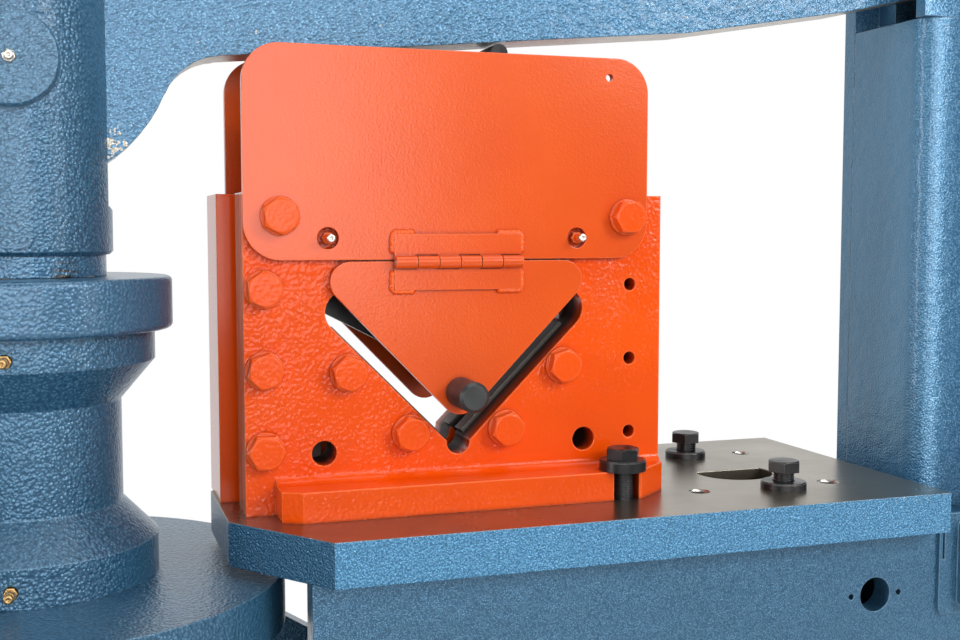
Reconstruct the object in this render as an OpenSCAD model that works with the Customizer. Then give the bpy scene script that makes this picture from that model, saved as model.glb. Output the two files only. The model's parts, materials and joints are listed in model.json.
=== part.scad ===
// Hydraulic ironworker with a revolving punch turret and a tool table that carries an angle shear.
// Millimetres. X runs along the machine, Y to its back, Z up. The origin is on the floor, under the
// middle of the machine. Y = 0 is the plane in which the rocking beam moves.

/* [Machine] */
// Length of the floor frame
base_length = 1625; // [1500:5:1800]
// Width over the two cross feet
base_width = 560; // [480:5:700]
// Height of the tool table above the floor
table_height = 940; // [880:5:1000]
// Distance from the left end of the floor frame to the ram's axis
ram_inset = 195; // [190:1:230]
// Thickness of the two side plates
side_plate_t = 20; // [12:1:30]
// Distance between the outer faces of the side plates
frame_width = 232; // [220:1:260]
// Height of the cross feet
foot_height = 80; // [60:1:120]

/* [Tool table] */
// Length of the table plate
table_length = 559; // [540:1:580]
// Depth of the table plate
table_depth = 278; // [260:1:300]
// Thickness of the table plate
table_t = 32; // [25:1:40]
// Distance from the ram's axis to the table's left edge
table_from_ram = 138; // [134:1:142]
// Diameter of the slug hole
slug_hole_d = 66; // [50:1:72]
// Across flats of the hexagon bolts
hex_flats = 23.8; // [22:0.1:25]
// Thread diameter of the hexagon bolts
bolt_d = 15.9; // [14:0.1:16]
// Diameter of the thick washers
washer_d = 36.5; // [34:0.5:42]
// Thickness of the thick washers
washer_t = 6.2; // [4:0.2:10]

/* [Angle shear] */
// Distance from the ram's axis to the left edge of the shear
shear_from_ram = 152; // [150:1:156]
// Width of the front plate
shear_w = 332; // [322:1:342]
// Height of the shear's plates
shear_h = 236; // [232:1:250]
// Thickness of each shear plate
shear_plate_t = 38; // [32:1:40]
// Thickness of the moving blade
blade_t = 15; // [12:0.5:18]
// Distance from the shear's left edge to the middle of the V
v_from_left = 162; // [160:1:166]
// Height of the V's corner above the table
v_apex_rise = 39; // [36:1:46]
// Sideways reach of the V to the middle of its rounded ends
v_reach = 86.5; // [76:0.5:88]
// Radius of the V's rounded ends
v_end_r = 16; // [12:0.5:18]
// Opening between the moving and the fixed blades, measured upright
blade_gap = 28.8; // [24:0.2:32]
// Stand-out of the shear's foot
foot_reach = 34; // [28:1:40]
// Height of the foot's front edge
foot_edge_h = 22.5; // [16:0.5:26]

/* [Guards] */
// Thickness of the guard plates and flaps
guard_t = 6; // [4:0.5:8]
// Height of the guard's top edge above the table
guard_top_rise = 342; // [338:1:344]
// Height of the guard's bottom edge above the table
guard_bottom_rise = 187; // [184:1:190]
// Corner radius of the guard
guard_r = 27; // [18:1:32]
// Length of the hinges
hinge_length = 100; // [80:1:110]
// Corner radius of the hinged flaps
flap_r = 15; // [10:0.5:18]
// Diameter of the knobs
knob_d = 23; // [18:1:28]
// Length of the knobs
knob_l = 36; // [28:1:40]

/* [Beam] */
// Thickness of the rocking beam
beam_t = 40; // [32:1:46]
// Distance from the tower's left face to the fulcrum
fulcrum_from_tower = 153; // [145:1:160]
// Height of the fulcrum above the table
fulcrum_rise = 490; // [480:1:500]
// Distance from the cylinder's axis to the right end of the floor frame
cylinder_inset = 130; // [120:1:140]
// Radius of the fulcrum pin
fulcrum_pin_r = 40; // [32:1:44]
// Radius of the lobe around the ram pin
lobe_r = 110; // [100:1:115]
// Downward stroke of the ram
ram_stroke = 45; // [40:1:46]

/* [Ram and turret] */
// Diameter of the ram
ram_d = 130; // [124:1:136]
// Diameter of the shaft's neck
neck_d = 120; // [110:1:124]
// Diameter of the hub's top flange
flange_d = 212; // [200:1:220]
// Diameter of the hub's upper and lower ends
hub_end_d = 186; // [180:1:192]
// Diameter of the hub's waist
waist_d = 137; // [130:1:142]
// Diameter of the turret discs
disc_d = 370; // [360:1:372]
// Thickness of the upper disc
disc_t = 40; // [34:1:44]
// Diameter of the turret's shaft
shaft_d = 80; // [70:1:86]
// Pitch radius of the punches
punch_pitch_r = 122; // [118:1:126]
// Number of punch places
punch_count = 3; // [2:1:3]
// Diameter of the punches' nuts
punch_nut_d = 62; // [54:1:66]

/* [Tower] */
// Gap between the table and the tower
tower_gap = 30; // [20:1:40]
// Depth of the tower's bent nose
nose_depth = 118; // [110:1:124]
// Bend radius of the nose
nose_r = 21; // [14:1:26]
// Wall of the bent nose
nose_wall = 8; // [6:1:10]
// Height of the nose's top edge above the table
nose_rise = 389.5; // [386:0.5:393]
// Height of the tower above the table
tower_rise = 640; // [620:1:680]

/* [Hidden] */
// General values
overrun = 1;
run_fit = 0.05;
face_gap = 0.3;
root_two = sqrt(2);
root_three = sqrt(3);
$fn = 64;

// Where the main pieces stand
blade_side_gap = 0.5;

// Table
table_cut_x = 60;
table_cut_y = 83;
place_pin_d = 17;
place_pin_deep = 12;
place_pin_x = 60;
place_pin_y = 70;
tool_place_share = 0.4;
hold_front_y = 80;
hold_back_y = 70.5;
bolt_head_t = 9;
// Washer of the bolts that clamp the shear's foot
clamp_washer_t = 8.5;
// Washer under the heads of the shear's bolts
face_washer_d = 28.6;
face_washer_t = 2.6;
face_washer_edge = 1;
// Turn of each next bolt head
head_turn = 17;
head_cone_share = 2.4;
head_top_share = 0.95;
bolt_lift = 7.8;
clamp_y = 26.6;
washer_edge = 1;
bolt_deep = 24;
slug_x = 6;
slug_y = -9.5;
slug_chord_y = 1;
washer_play = 2;
hold_front_x = 11;
hold_back_x = 2;
thread_fit = 0.1;

// Side plates
plate_left_from_ram = 187;
end_setback = 20;
tower_corner = 60;
socket_hole_d = 28;
socket_inset = 53;
socket_drop = 84;
socket_screw_d = 5;
socket_screw_x = 22.5;
notch_w = 47;
notch_left_drop = 110;
notch_right_drop = 140;
toe_height = 60;
toe_length = 180;

// Beam outline, from the ram's axis and the table's top
lobe_rise = 348;
pin_rise = 321;
fillet_x = 144;
fillet_rise = 290;
touch_step = 0.4;
bend_from_tower = 206;
bend_rise = 370.5;
throat_from_tower = 54;
throat_rise = 396;
neck_into_tower = 53;
neck_rise = 420;
hub_r = 95;
hub_boss_r = 78;
hub_side_gap = 0.5;
rod_play = 0.5;
eye_r = 58;
eye_rise = 480;
ram_pin_r = 24;
eye_play = 1.2;
eye_slot = 12;
rod_pin_r = 24;
bush_wall = 6;

// Shear
plate_bolt_x = 14.5;
plate_bolt_rises = [48, 107, 166];
open_hole_x = 26.5;
open_hole_d = 10;
lift_hole_d = 18.6;
lift_hole_rise = 44;
back_extra = 12;
back_rib_w = 10;
back_rib_t = 23;
spacer_inset = 9;
blade_bolt_off = 15;
blade_bolt_low = 39;
blade_bolt_high = 106;
blade_bolt_deep = 36;
plate_bolt_deep = 79;
guard_bolt_deep = 28;
seat_gap = 0.1;
lift_hole_x_half = 104;
relief_d = 18.4;
relief_rise = 8;
fixed_blade_h = 26;
fixed_blade_t = 15;
fixed_blade_proud = 3;
fixed_blade_low = 16;
fixed_blade_l = 118;
slide_half = 98;
slide_gap = 0.4;
foot_left = 22;
foot_left_cut = 14;
foot_left_cut_y = 8;
foot_right_cut = 31;
foot_right_cut_y = 27;
foot_slot_x = 277.5;
foot_slot_w = 21.4;
foot_slope_h = 7;
foot_slot_stop = 14;
tip_r = 8;
ear_from_middle = 50;
ear_slope_share = 0.52;

// Guards
guard_right_inset = 15;
guard_bolt_x = 26;
guard_bolt_right_x = 299;
guard_bolt_rise = 219;
nipple_hole_d = 16;
nipple_x = 61;
nipple_right_x = 257;
nipple_rise = 203;
hang_hole_d = 6;
hang_hole_x = 284;
hang_hole_rise = 327;
flap_top_rise = 185.7;
flap_tip_rise = 69;
flap_half = 84.5;
hinge_from_left = 110;
hinge_rise = 185.2;
hinge_clear = 0.2;
leaf_clear = 5.5;
hinge_r = 4.7;
hinge_pin_r = 2.2;
hinge_leaf_t = 3;
hinge_leaf_h = 21;
knuckles = 6;
knuckle_gap = 0.6;
knob_rise = 86;
knob_stud_d = 8;
knob_chamfer = 2.5;
flap_face_gap = 0.4;

// Pusher head of the shear
head_w = 116;
head_r = 6;
head_top_rise = 334;
finger_from_v = 43;
finger_r = 7;
finger_rise = 354.2;
finger_half = 18;
head_t = 64;
pusher_bottom = 270.5;
tongue_l = 24;
shoulder_drop = 40;

// Ram and turret
ram_top_rise = 380;
ram_bottom = 191.5;
ram_edge = 2.5;
fork_edge = 3;
neck_bottom = 176;
flange_bottom = 138;
hub_step = 116;
waist_top = 87;
waist_bottom = 13.5;
hub_low_cone = -12.5;
hub_bottom = -40;
flange_round = 4;
cap_d = 63;
cap_t = 12.6;
cap_edge = 1.5;
boss_half = ram_d / 2 + touch_step;
fork_bottom = 226;
spigot_top = 216;
nut_slots = 4;
nut_slot_w = 12;
nut_slot_deep = 8;
nut_d = 124;
nut_t = 24;
shaft_bottom = -330;
hub_bush_l = 50;
hub_bush_wall = 8;
arm_bush_wall = 15;
punch_nut_t = 34;
punch_d = 22;
punch_tip = -166;
stripper_d = 44;
stripper_l = 40;
stripper_gap = 1;
punch_head_d = 40;
punch_head_t = 24;
slug_drop_d = 34;
die_d = 58;
die_proud = 12;
die_sink = 22;
punch_entry = 4;
die_gap = 1.2;
lower_disc_t = 44;
arm_half = 80;
arm_h = 200;
arm_l = 200;
arm_root_l = 220;
arm_nose_r = 100;
arm_taper = 70;
arm_pocket = 30;
arm_rim = 36;
bush_flange = 8;
punch_turn = 180;
nipple_r = 3.2;
nipple_base_r = 4.6;
nipple_l = 14;
nipple_base_share = 0.45;
nipple_seat = 4;
hub_nipple_top = 124;
hub_nipple_low = -28;
nipple_turn = -4.4;

// Tower
nose_length = 50;
guide_gap = 0.5;
guide_left = 4;
guide_t = 15;
front_guide_t = 12;
guide_pad_in = 26;
seam_w = 0.8;
seam_deep = 1;
guide_h = 150;
cover_t = 4;
louvre_count = 8;
louvre_rise = 60;
louvre_step = 24;
louvre_h = 8;
louvre_half = 70;
web_t = 12;
deck_inset = 24;
foot_length = 110;
foot_wall = 10;
rail_w = 60;
anchor_inset = 40;
anchor_d = 18;
cap_bolts = 4;
cap_bolt_share = 0.72;
cap_plate_r = 78;
cap_plate_t = 12;

// Hydraulics
barrel_r = 88;
barrel_bottom = -470;
barrel_top = 60;
rod_r = 45;
fork_half = 55;
fork_r = 52;
seat_t = 40;
gland_h = 40;
gland_out = 6;
bore_r = 75;
piston_low = 60;
piston_h = 70;
fork_clear = 8;
fork_base = 40;
pin_out = 10;
tank_l = 420;
tank_w = 150;
tank_h = 260;
tank_x = 180;
tank_z = 230;
tank_r = 14;
motor_r = 68;
motor_l = 250;
motor_off = 110;
motor_box = 90;
motor_box_in = 10;
motor_box_out = 40;
motor_flange = 12;
valve_l = 92;
valve_h = 70;
valve_t = 60;
coil_d = 44;
coil_l = 40;

// Control panel
panel_gap = 6.5;
panel_w = 190;
panel_h = 84;
panel_drop = 22;
panel_r = 6;
panel_t = 12;
panel_rim = 18;
panel_rim_t = 3;
latch_slot_in = 3;
latch_slot_w = 2;
latch_slot_drop = 14;
latch_slot_h = 24;
button_deep = 9;
button_d = 22;
button_l = 16;
button_stroke = 5;
stop_d = 36;
button_space = 60;
button_clear = 0.3;

// Values worked out from the ones above
ram_x = -base_length / 2 + ram_inset;
table_z = table_height;
right_x = base_length / 2;
half_frame = frame_width / 2;
inner_half = half_frame - side_plate_t;
shear_x = ram_x + shear_from_ram;
v_x = shear_x + v_from_left;
table_x = ram_x + table_from_ram;
table_right = table_x + table_length;
tower_x = table_right + tower_gap;
fulcrum_x = tower_x + fulcrum_from_tower;
fulcrum_z = table_z + fulcrum_rise;
cylinder_x = right_x - cylinder_inset;
shear_t = 2 * shear_plate_t + blade_t + 2 * blade_side_gap;
shear_front = -shear_t / 2;
shear_right = shear_x + shear_w;
tool_place_x = shear_right + tool_place_share * (table_right - shear_right);
panel_x = table_right + panel_gap;
washer_bore_d = bolt_d + washer_play;
clamp_x = shear_x + foot_slot_x + foot_slot_w / 2;
clamp_top = table_z + foot_edge_h + clamp_washer_t;
// Each hold-down bolt: X, Y, its washer's top and thickness, and how far its head stands off the washer
hold_places = [[clamp_x, shear_front - clamp_y, clamp_top, clamp_washer_t, 0],
    [clamp_x, clamp_y - shear_front, clamp_top, clamp_washer_t, 0],
    [tool_place_x + hold_front_x, -hold_front_y, table_z + washer_t, washer_t, bolt_lift],
    [tool_place_x + hold_back_x, hold_back_y, table_z + washer_t, washer_t, bolt_lift]];
plate_left_x = ram_x + plate_left_from_ram;
tower_top = table_z + tower_rise;
plate_right_x = right_x - end_setback;
tower_side_x = tower_x + nose_length;
fillet_r = norm([fillet_x, lobe_rise - fillet_rise]) - lobe_r;
left_bolt_x = shear_x + plate_bolt_x;
right_bolt_x = shear_x + shear_w - open_hole_x;
v_apex_z = table_z + v_apex_rise;
v_end_z = v_apex_z + v_reach + v_end_r * root_two;
hinge_x = shear_x + hinge_from_left;
hinge_y = shear_front - guard_t - hinge_r - hinge_clear;
hinge_z = table_z + hinge_rise;
disc_bottom = hub_bottom - disc_t;
hub_bore_d = shaft_d + 2 * hub_bush_wall;
stripper_bore_d = punch_d + stripper_gap;
die_rise = punch_tip - ram_stroke + punch_entry;
die_bore_d = punch_d + die_gap;
lower_top = die_rise - die_proud;
lower_bottom = lower_top - lower_disc_t;
arm_top = lower_bottom - face_gap;
arm_bush_d = shaft_d + 2 * arm_bush_wall;
arm_top_z = table_z + arm_top;
arm_root_x = ram_x + arm_l;
arm_end_x = arm_root_x + arm_root_l;

paint_blue = [0.33, 0.53, 0.68];
paint_orange = [0.95, 0.33, 0.12];
steel = [0.62, 0.61, 0.58];
black_steel = [0.13, 0.13, 0.14];
bronze = [0.66, 0.5, 0.28];
stripper_red = [0.6, 0.1, 0.08];
button_green = [0.1, 0.5, 0.2];
button_red = [0.75, 0.08, 0.06];

// Gives an outline drawn in X and Z a thickness from y0 to y1
module upright(y0, y1) {
    translate([0, y1, 0])
        rotate([90, 0, 0])
            linear_extrude(height = y1 - y0)
                children();
}

// Gives an outline drawn in Y and Z a length from x0 to x1
module along_x(x0, x1) {
    translate([x0, 0, 0])
        rotate([90, 0, 90])
            linear_extrude(height = x1 - x0)
                children();
}

// Gives an outline drawn in X and Y a height from z0 to z1
module level(z0, z1) {
    translate([0, 0, z0])
        linear_extrude(height = z1 - z0)
            children();
}

// Rectangle between two corners
module rect(a, b) {
    translate(a)
        square(b - a);
}

// Block between two corners
module block(a, b) {
    translate(a)
        cube(b - a);
}

// Upright round bar
module post(x, y, r, z0, z1) {
    translate([x, y, z0])
        cylinder(r = r, h = z1 - z0);
}

// Polygon grown outward by r with round corners; its points run anticlockwise
module round_poly(points, r) {
    count = len(points);
    polygon(points);
    for (i = [0 : count - 1]) {
        a = points[i];
        b = points[(i + 1) % count];
        out = [b[1] - a[1], a[0] - b[0]] * r / norm(b - a);
        polygon([a, a + out, b + out, b]);
        translate(a)
            circle(r);
    }
}

// Rectangle with round corners
module round_rect(a, b, r) {
    round_poly([[a[0] + r, a[1] + r], [b[0] - r, a[1] + r], [b[0] - r, b[1] - r], [a[0] + r, b[1] - r]], r);
}

// Draws the children in front and, mirrored, at the back
module both_faces() {
    children();
    mirror([0, 1, 0])
        children();
}

// Hexagon head with a chamfer, standing on z = 0
module hex_head() {
    intersection() {
        cylinder(r = hex_flats / root_three, h = bolt_head_t, $fn = 6);
        cylinder(d1 = hex_flats * head_cone_share, d2 = hex_flats * head_top_share, h = bolt_head_t);
    }
}

// Bolt along Y with its washer on the front face at y and a shank behind it
module face_bolt(x, z, y, deep, turn) {
    translate([x, y, z])
        rotate([90, 0, 0]) {
            cylinder(d = face_washer_d, h = face_washer_t - face_washer_edge);
            translate([0, 0, face_washer_t - face_washer_edge])
                cylinder(d1 = face_washer_d, d2 = face_washer_d - face_washer_edge, h = face_washer_edge);
            translate([0, 0, face_washer_t])
                rotate(turn)
                    hex_head();
            translate([0, 0, -deep])
                cylinder(d = bolt_d, h = deep);
        }
}

// Grease nipple standing on z = 0
module nipple() {
    cylinder(r = nipple_base_r, h = nipple_l * nipple_base_share, $fn = 6);
    cylinder(r = nipple_r, h = nipple_l);
}

module side_outline() {
    difference() {
        union() {
            rect([plate_left_x, foot_height], [plate_right_x, table_z - table_t]);
            rect([tower_side_x, foot_height], [plate_right_x, tower_top - tower_corner]);
            rect([tower_side_x + tower_corner, foot_height], [plate_right_x, tower_top]);
            translate([tower_side_x + tower_corner, tower_top - tower_corner])
                circle(tower_corner);
        }
        rect([plate_left_x - overrun, foot_height - overrun],
            [plate_left_x + toe_length - toe_height, foot_height + toe_height]);
        translate([plate_left_x + toe_length - toe_height, foot_height])
            circle(toe_height);
        translate([fulcrum_x, fulcrum_z])
            circle(fulcrum_pin_r + run_fit);
    }
}

module front_side_plate() {
    color(paint_blue)
        upright(-half_frame, -inner_half)
            difference() {
                side_outline();
                translate([table_right - socket_inset, table_z - socket_drop]) {
                    circle(d = socket_hole_d);
                    for (s = [-1, 1])
                        translate([s * socket_screw_x, 0])
                            circle(d = socket_screw_d);
                }
            }
}

module back_side_plate() {
    color(paint_blue)
        upright(inner_half, half_frame)
            difference() {
                side_outline();
                polygon([[plate_left_x - overrun, table_z - table_t + overrun],
                    [plate_left_x - overrun, table_z - notch_left_drop],
                    [plate_left_x + notch_w, table_z - notch_right_drop],
                    [plate_left_x + notch_w, table_z - table_t + overrun]]);
            }
}

module cross_feet() {
    color(paint_blue)
        difference() {
            union() {
                for (x = [-right_x, right_x - foot_length])
                    block([x, -base_width / 2, 0], [x + foot_length, base_width / 2, foot_height]);
                both_faces()
                    block([-right_x, -half_frame, 0], [right_x, -half_frame + rail_w, foot_height]);
            }
            for (x = [-right_x, right_x - foot_length])
                block([x + foot_wall, -base_width / 2 - overrun, -overrun],
                    [x + foot_length - foot_wall, base_width / 2 + overrun, foot_height - foot_wall]);
            for (x = [-right_x + foot_length / 2, right_x - foot_length / 2], s = [-1, 1])
                post(x, s * (base_width / 2 - anchor_inset), anchor_d / 2, -overrun, foot_height + overrun);
        }
}

module inner_cross_plates() {
    color(paint_blue) {
        block([plate_left_x + toe_length, -inner_half, foot_height],
            [plate_right_x - web_t, inner_half, foot_height + web_t]);
        block([cylinder_x - barrel_r - seat_t, -inner_half, table_z + barrel_bottom - seat_t],
            [plate_right_x - web_t, inner_half, table_z + barrel_bottom]);
        block([plate_right_x - web_t, -inner_half, foot_height],
            [plate_right_x, inner_half, table_z - table_t]);
    }
}

module deck_plate() {
    color(paint_blue)
        difference() {
            block([plate_left_x + deck_inset, -inner_half, table_z - table_t - web_t],
                [cylinder_x - barrel_r - seat_t, inner_half, table_z - table_t]);
            post(tool_place_x + slug_x, slug_y, slug_hole_d / 2 + washer_t,
                table_z - table_t - web_t - overrun, table_z);
        }
}

// Plan of the sheet that is bent round the tower's front corner, filled back to the plate behind it
module nose_plan(inset, back) {
    rect([tower_x + nose_r, -nose_depth / 2 + inset], [tower_side_x, back]);
    rect([tower_x + inset, -nose_depth / 2 + nose_r], [tower_side_x, back]);
    translate([tower_x + nose_r, -nose_depth / 2 + nose_r])
        circle(nose_r - inset);
}

module tower_nose() {
    color(paint_blue) {
        level(table_z - table_t, table_z + nose_rise)
            difference() {
                nose_plan(0, nose_depth / 2);
                nose_plan(nose_wall, nose_depth / 2 - guide_t);
                rect([tower_side_x - overrun, -nose_depth / 2 + nose_wall],
                    [tower_side_x + overrun, nose_depth / 2 - guide_t]);
                rect([tower_x - overrun, nose_depth / 2 - guide_t - seam_w],
                    [tower_x + seam_deep, nose_depth / 2 - guide_t]);
            }
        both_faces() {
            block([tower_side_x, -inner_half, table_z - table_t],
                [tower_side_x + nose_wall, -nose_depth / 2 + nose_wall, tower_top]);
            block([tower_side_x - nose_wall, -nose_depth / 2, table_z - table_t],
                [tower_side_x + nose_wall, -nose_depth / 2 + nose_wall, table_z + nose_rise]);
        }
    }
}

// Plan of one guide: a cheek plate and a pad that reaches in to the beam
module guide_plan(left, t) {
    out = nose_depth / 2;
    polygon([[left, -out], [tower_side_x, -out], [tower_side_x, -beam_t / 2 - guide_gap],
        [tower_x + guide_pad_in, -beam_t / 2 - guide_gap], [tower_x + guide_pad_in, t - out],
        [left, t - out]]);
}

module beam_guides() {
    color(paint_blue) {
        level(table_z + nose_rise, table_z + nose_rise + guide_h) {
            guide_plan(tower_x - guide_left, front_guide_t);
            mirror([0, 1])
                guide_plan(tower_x, guide_t);
        }
    }
}

module tower_cover() {
    color(paint_blue)
        difference() {
            upright(-half_frame, half_frame) {
                rect([tower_side_x + tower_corner, tower_top],
                    [plate_right_x + cover_t, tower_top + cover_t]);
                rect([plate_right_x, table_z - table_t], [plate_right_x + cover_t, tower_top + cover_t]);
            }
            for (i = [0 : louvre_count - 1])
                block([plate_right_x - overrun, -louvre_half, table_z + louvre_rise + i * louvre_step],
                    [plate_right_x + cover_t + overrun, louvre_half,
                        table_z + louvre_rise + i * louvre_step + louvre_h]);
        }
}

module fulcrum_pin() {
    color(steel)
        upright(-half_frame, half_frame)
            translate([fulcrum_x, fulcrum_z])
                circle(fulcrum_pin_r);
}

module fulcrum_caps() {
    color(black_steel)
        both_faces()
            translate([fulcrum_x, -half_frame, fulcrum_z])
                rotate([90, 0, 0]) {
                    cylinder(r = cap_plate_r, h = cap_plate_t);
                    for (i = [0 : cap_bolts - 1])
                        rotate(45 + i * 360 / cap_bolts)
                            translate([cap_plate_r * cap_bolt_share, 0, cap_plate_t])
                                cylinder(r = hex_flats / root_three, h = bolt_head_t, $fn = 6);
                }
}

module table_plan() {
    x0 = table_x;
    x1 = table_right;
    y = table_depth / 2;
    polygon([[x0, -y + table_cut_y], [x0 + table_cut_x, -y], [x1, -y], [x1, y], [x0 + table_cut_x, y],
        [x0, y - table_cut_y]]);
}

// The slug hole is round in front and ends in a straight edge near the beam's plane
module slug_hole_plan() {
    x = tool_place_x + slug_x;
    intersection() {
        translate([x, slug_y])
            circle(d = slug_hole_d);
        rect([x - slug_hole_d, slug_y - slug_hole_d], [x + slug_hole_d, slug_chord_y]);
    }
}

module tool_table() {
    color(steel)
        difference() {
            level(table_z - table_t, table_z)
                table_plan();
            level(table_z - table_t - overrun, table_z + overrun)
                slug_hole_plan();
            for (x = [-place_pin_x, place_pin_x], y = [-place_pin_y, place_pin_y])
                post(tool_place_x + x, y, place_pin_d / 2, table_z - place_pin_deep, table_z + overrun);
            for (p = hold_places)
                post(p[0], p[1], bolt_d / 2 + thread_fit, table_z - bolt_deep - overrun, table_z + overrun);
        }
}

module hold_down_bolts() {
    color(black_steel)
        for (p = hold_places)
            translate([p[0], p[1], p[2] + p[4]]) {
                hex_head();
                post(0, 0, bolt_d / 2, table_z - bolt_deep - p[2] - p[4], 0);
            }
}

module hold_down_washers() {
    color(black_steel)
        for (p = hold_places)
            difference() {
                union() {
                    post(p[0], p[1], washer_d / 2, p[2] - p[3], p[2] - washer_edge);
                    post(p[0], p[1], washer_d / 2 - washer_edge, p[2] - washer_edge, p[2]);
                }
                post(p[0], p[1], washer_bore_d / 2, p[2] - p[3] - overrun, p[2] + overrun);
            }
}

module turret_arm() {
    color(paint_blue)
        difference() {
            union() {
                upright(-arm_half, arm_half)
                    polygon([[ram_x, arm_top_z], [ram_x, arm_top_z - arm_h],
                        [ram_x + arm_nose_r, arm_top_z - arm_h],
                        [arm_root_x, arm_top_z - arm_h - arm_taper],
                        [arm_end_x, arm_top_z - arm_h - arm_taper], [arm_end_x, arm_top_z]]);
                block([arm_root_x, -inner_half, arm_top_z - arm_h - arm_taper],
                    [arm_end_x, inner_half, arm_top_z]);
                post(ram_x, 0, arm_nose_r, arm_top_z - arm_h, arm_top_z);
            }
            both_faces()
                upright(-arm_half - overrun, -arm_half + arm_pocket)
                    round_rect([ram_x + arm_nose_r, arm_top_z - arm_h + arm_rim],
                        [arm_root_x - arm_rim, arm_top_z - arm_rim], arm_rim / 2);
            post(ram_x, 0, arm_bush_d / 2 + run_fit, arm_top_z - arm_h - overrun, arm_top_z + overrun);
        }
}

module arm_bush() {
    color(bronze)
        difference() {
            union() {
                post(ram_x, 0, arm_bush_d / 2, arm_top_z - arm_h, table_z + lower_top);
                post(ram_x, 0, arm_bush_d / 2 + bush_flange,
                    arm_top_z - arm_h - bush_flange, arm_top_z - arm_h);
            }
            post(ram_x, 0, shaft_d / 2 + run_fit, arm_top_z - arm_h - bush_flange - overrun,
                table_z + lower_top + overrun);
        }
}

module v_opening() {
    cut = v_end_r / root_two;
    polygon([[v_x, v_apex_z], [v_x + v_reach + cut, v_end_z - cut], [v_x + v_reach, v_end_z + v_end_r],
        [v_x - v_reach, v_end_z + v_end_r], [v_x - v_reach - cut, v_end_z - cut]]);
    for (s = [-1, 1])
        translate([v_x + s * v_reach, v_end_z])
            circle(v_end_r);
    translate([v_x, v_apex_z + relief_rise])
        circle(d = relief_d);
}

// Draws the children along the right leg of the V and mirrored along its left leg
module both_legs() {
    for (s = [0, 1])
        translate([v_x, v_apex_z])
            mirror([s, 0])
                rotate(45)
                    children();
}

module blade_outline(grow) {
    both_legs()
        rect([fixed_blade_low - grow, fixed_blade_proud - fixed_blade_h - grow],
            [fixed_blade_low + fixed_blade_l + grow, fixed_blade_proud]);
}

module blade_bolt_places(r) {
    both_legs()
        for (d = [blade_bolt_low, blade_bolt_high])
            translate([d, -blade_bolt_off])
                circle(r);
}

module foot_bar() {
    intersection() {
        along_x(shear_x, shear_x + shear_w)
            difference() {
                polygon([[shear_front + overrun, table_z], [shear_front - foot_reach, table_z],
                    [shear_front - foot_reach, table_z + foot_edge_h],
                    [shear_front - foot_slope_h, table_z + foot_edge_h],
                    [shear_front, table_z + foot_edge_h + foot_slope_h],
                    [shear_front + overrun, table_z + foot_edge_h + foot_slope_h]]);
                translate([shear_front - foot_slope_h, table_z + foot_edge_h + foot_slope_h])
                    circle(foot_slope_h);
            }
        level(table_z, table_z + foot_edge_h + foot_slope_h)
            difference() {
                translate([shear_x, shear_front])
                    polygon([[foot_left, overrun], [foot_left, foot_left_cut_y - foot_reach],
                        [foot_left + foot_left_cut, -foot_reach], [shear_w - foot_right_cut, -foot_reach],
                        [shear_w, foot_right_cut_y - foot_reach], [shear_w, overrun]]);
                translate([shear_x + foot_slot_x, shear_front - foot_reach - overrun])
                    square([foot_slot_w, foot_reach + overrun - foot_slot_stop]);
            }
    }
}

// One plate of the shear with its foot; reach_left is how far it goes past the left edge
module shear_plate(reach_left) {
    difference() {
        union() {
            upright(shear_front, shear_front + shear_plate_t)
                difference() {
                    rect([shear_x - reach_left, table_z], [shear_x + shear_w, table_z + shear_h]);
                    v_opening();
                    for (s = [-1, 1])
                        translate([v_x + s * lift_hole_x_half, table_z + lift_hole_rise])
                            circle(d = lift_hole_d);
                    for (x = [guard_bolt_x, guard_bolt_right_x])
                        translate([shear_x + x, table_z + guard_bolt_rise])
                            circle(bolt_d / 2 + thread_fit);
                    blade_bolt_places(bolt_d / 2 + thread_fit);
                }
            foot_bar();
        }
        upright(shear_front + shear_plate_t - fixed_blade_t - seat_gap, shear_front + shear_plate_t + overrun)
            blade_outline(seat_gap);
    }
}

module column_holes(x, r) {
    for (rise = plate_bolt_rises)
        translate([x, table_z + rise])
            circle(r);
}

module shear_front_plate() {
    color(paint_orange)
        difference() {
            shear_plate(0);
            upright(shear_front - overrun, shear_front + shear_plate_t + overrun) {
                column_holes(left_bolt_x, bolt_d / 2 + thread_fit);
                column_holes(right_bolt_x, open_hole_d / 2);
            }
        }
}

module shear_back_plate() {
    color(paint_orange)
        difference() {
            mirror([0, 1, 0]) {
                shear_plate(back_extra);
                block([shear_x - back_extra, shear_front - back_rib_t, table_z],
                    [shear_x - back_extra + back_rib_w, shear_front, table_z + shear_h]);
            }
            upright(-shear_front - shear_plate_t - overrun, -shear_front + overrun) {
                column_holes(left_bolt_x, bolt_d / 2 + thread_fit);
                column_holes(right_bolt_x, bolt_d / 2 + thread_fit);
            }
        }
}

module shear_spacers() {
    color(paint_orange)
        upright(shear_front + shear_plate_t, -shear_front - shear_plate_t)
            difference() {
                union() {
                    rect([shear_x + spacer_inset, table_z],
                        [v_x - slide_half - slide_gap, table_z + shear_h]);
                    rect([v_x + slide_half + slide_gap, table_z],
                        [shear_x + shear_w - spacer_inset, table_z + shear_h]);
                }
                column_holes(left_bolt_x, bolt_d / 2 + thread_fit);
                column_holes(right_bolt_x, bolt_d / 2 + thread_fit);
            }
}

module fixed_blades() {
    color(steel)
        both_faces()
            upright(shear_front + shear_plate_t - fixed_blade_t, shear_front + shear_plate_t)
                difference() {
                    blade_outline(0);
                    blade_bolt_places(bolt_d / 2 + thread_fit);
                }
}

module blade_bolts() {
    color(paint_orange)
        both_faces()
            for (s = [-1, 1], d = [blade_bolt_low, blade_bolt_high])
                face_bolt(v_x + s * (d + blade_bolt_off) / root_two,
                    v_apex_z + (d - blade_bolt_off) / root_two, shear_front, blade_bolt_deep, s * head_turn);
}

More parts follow.
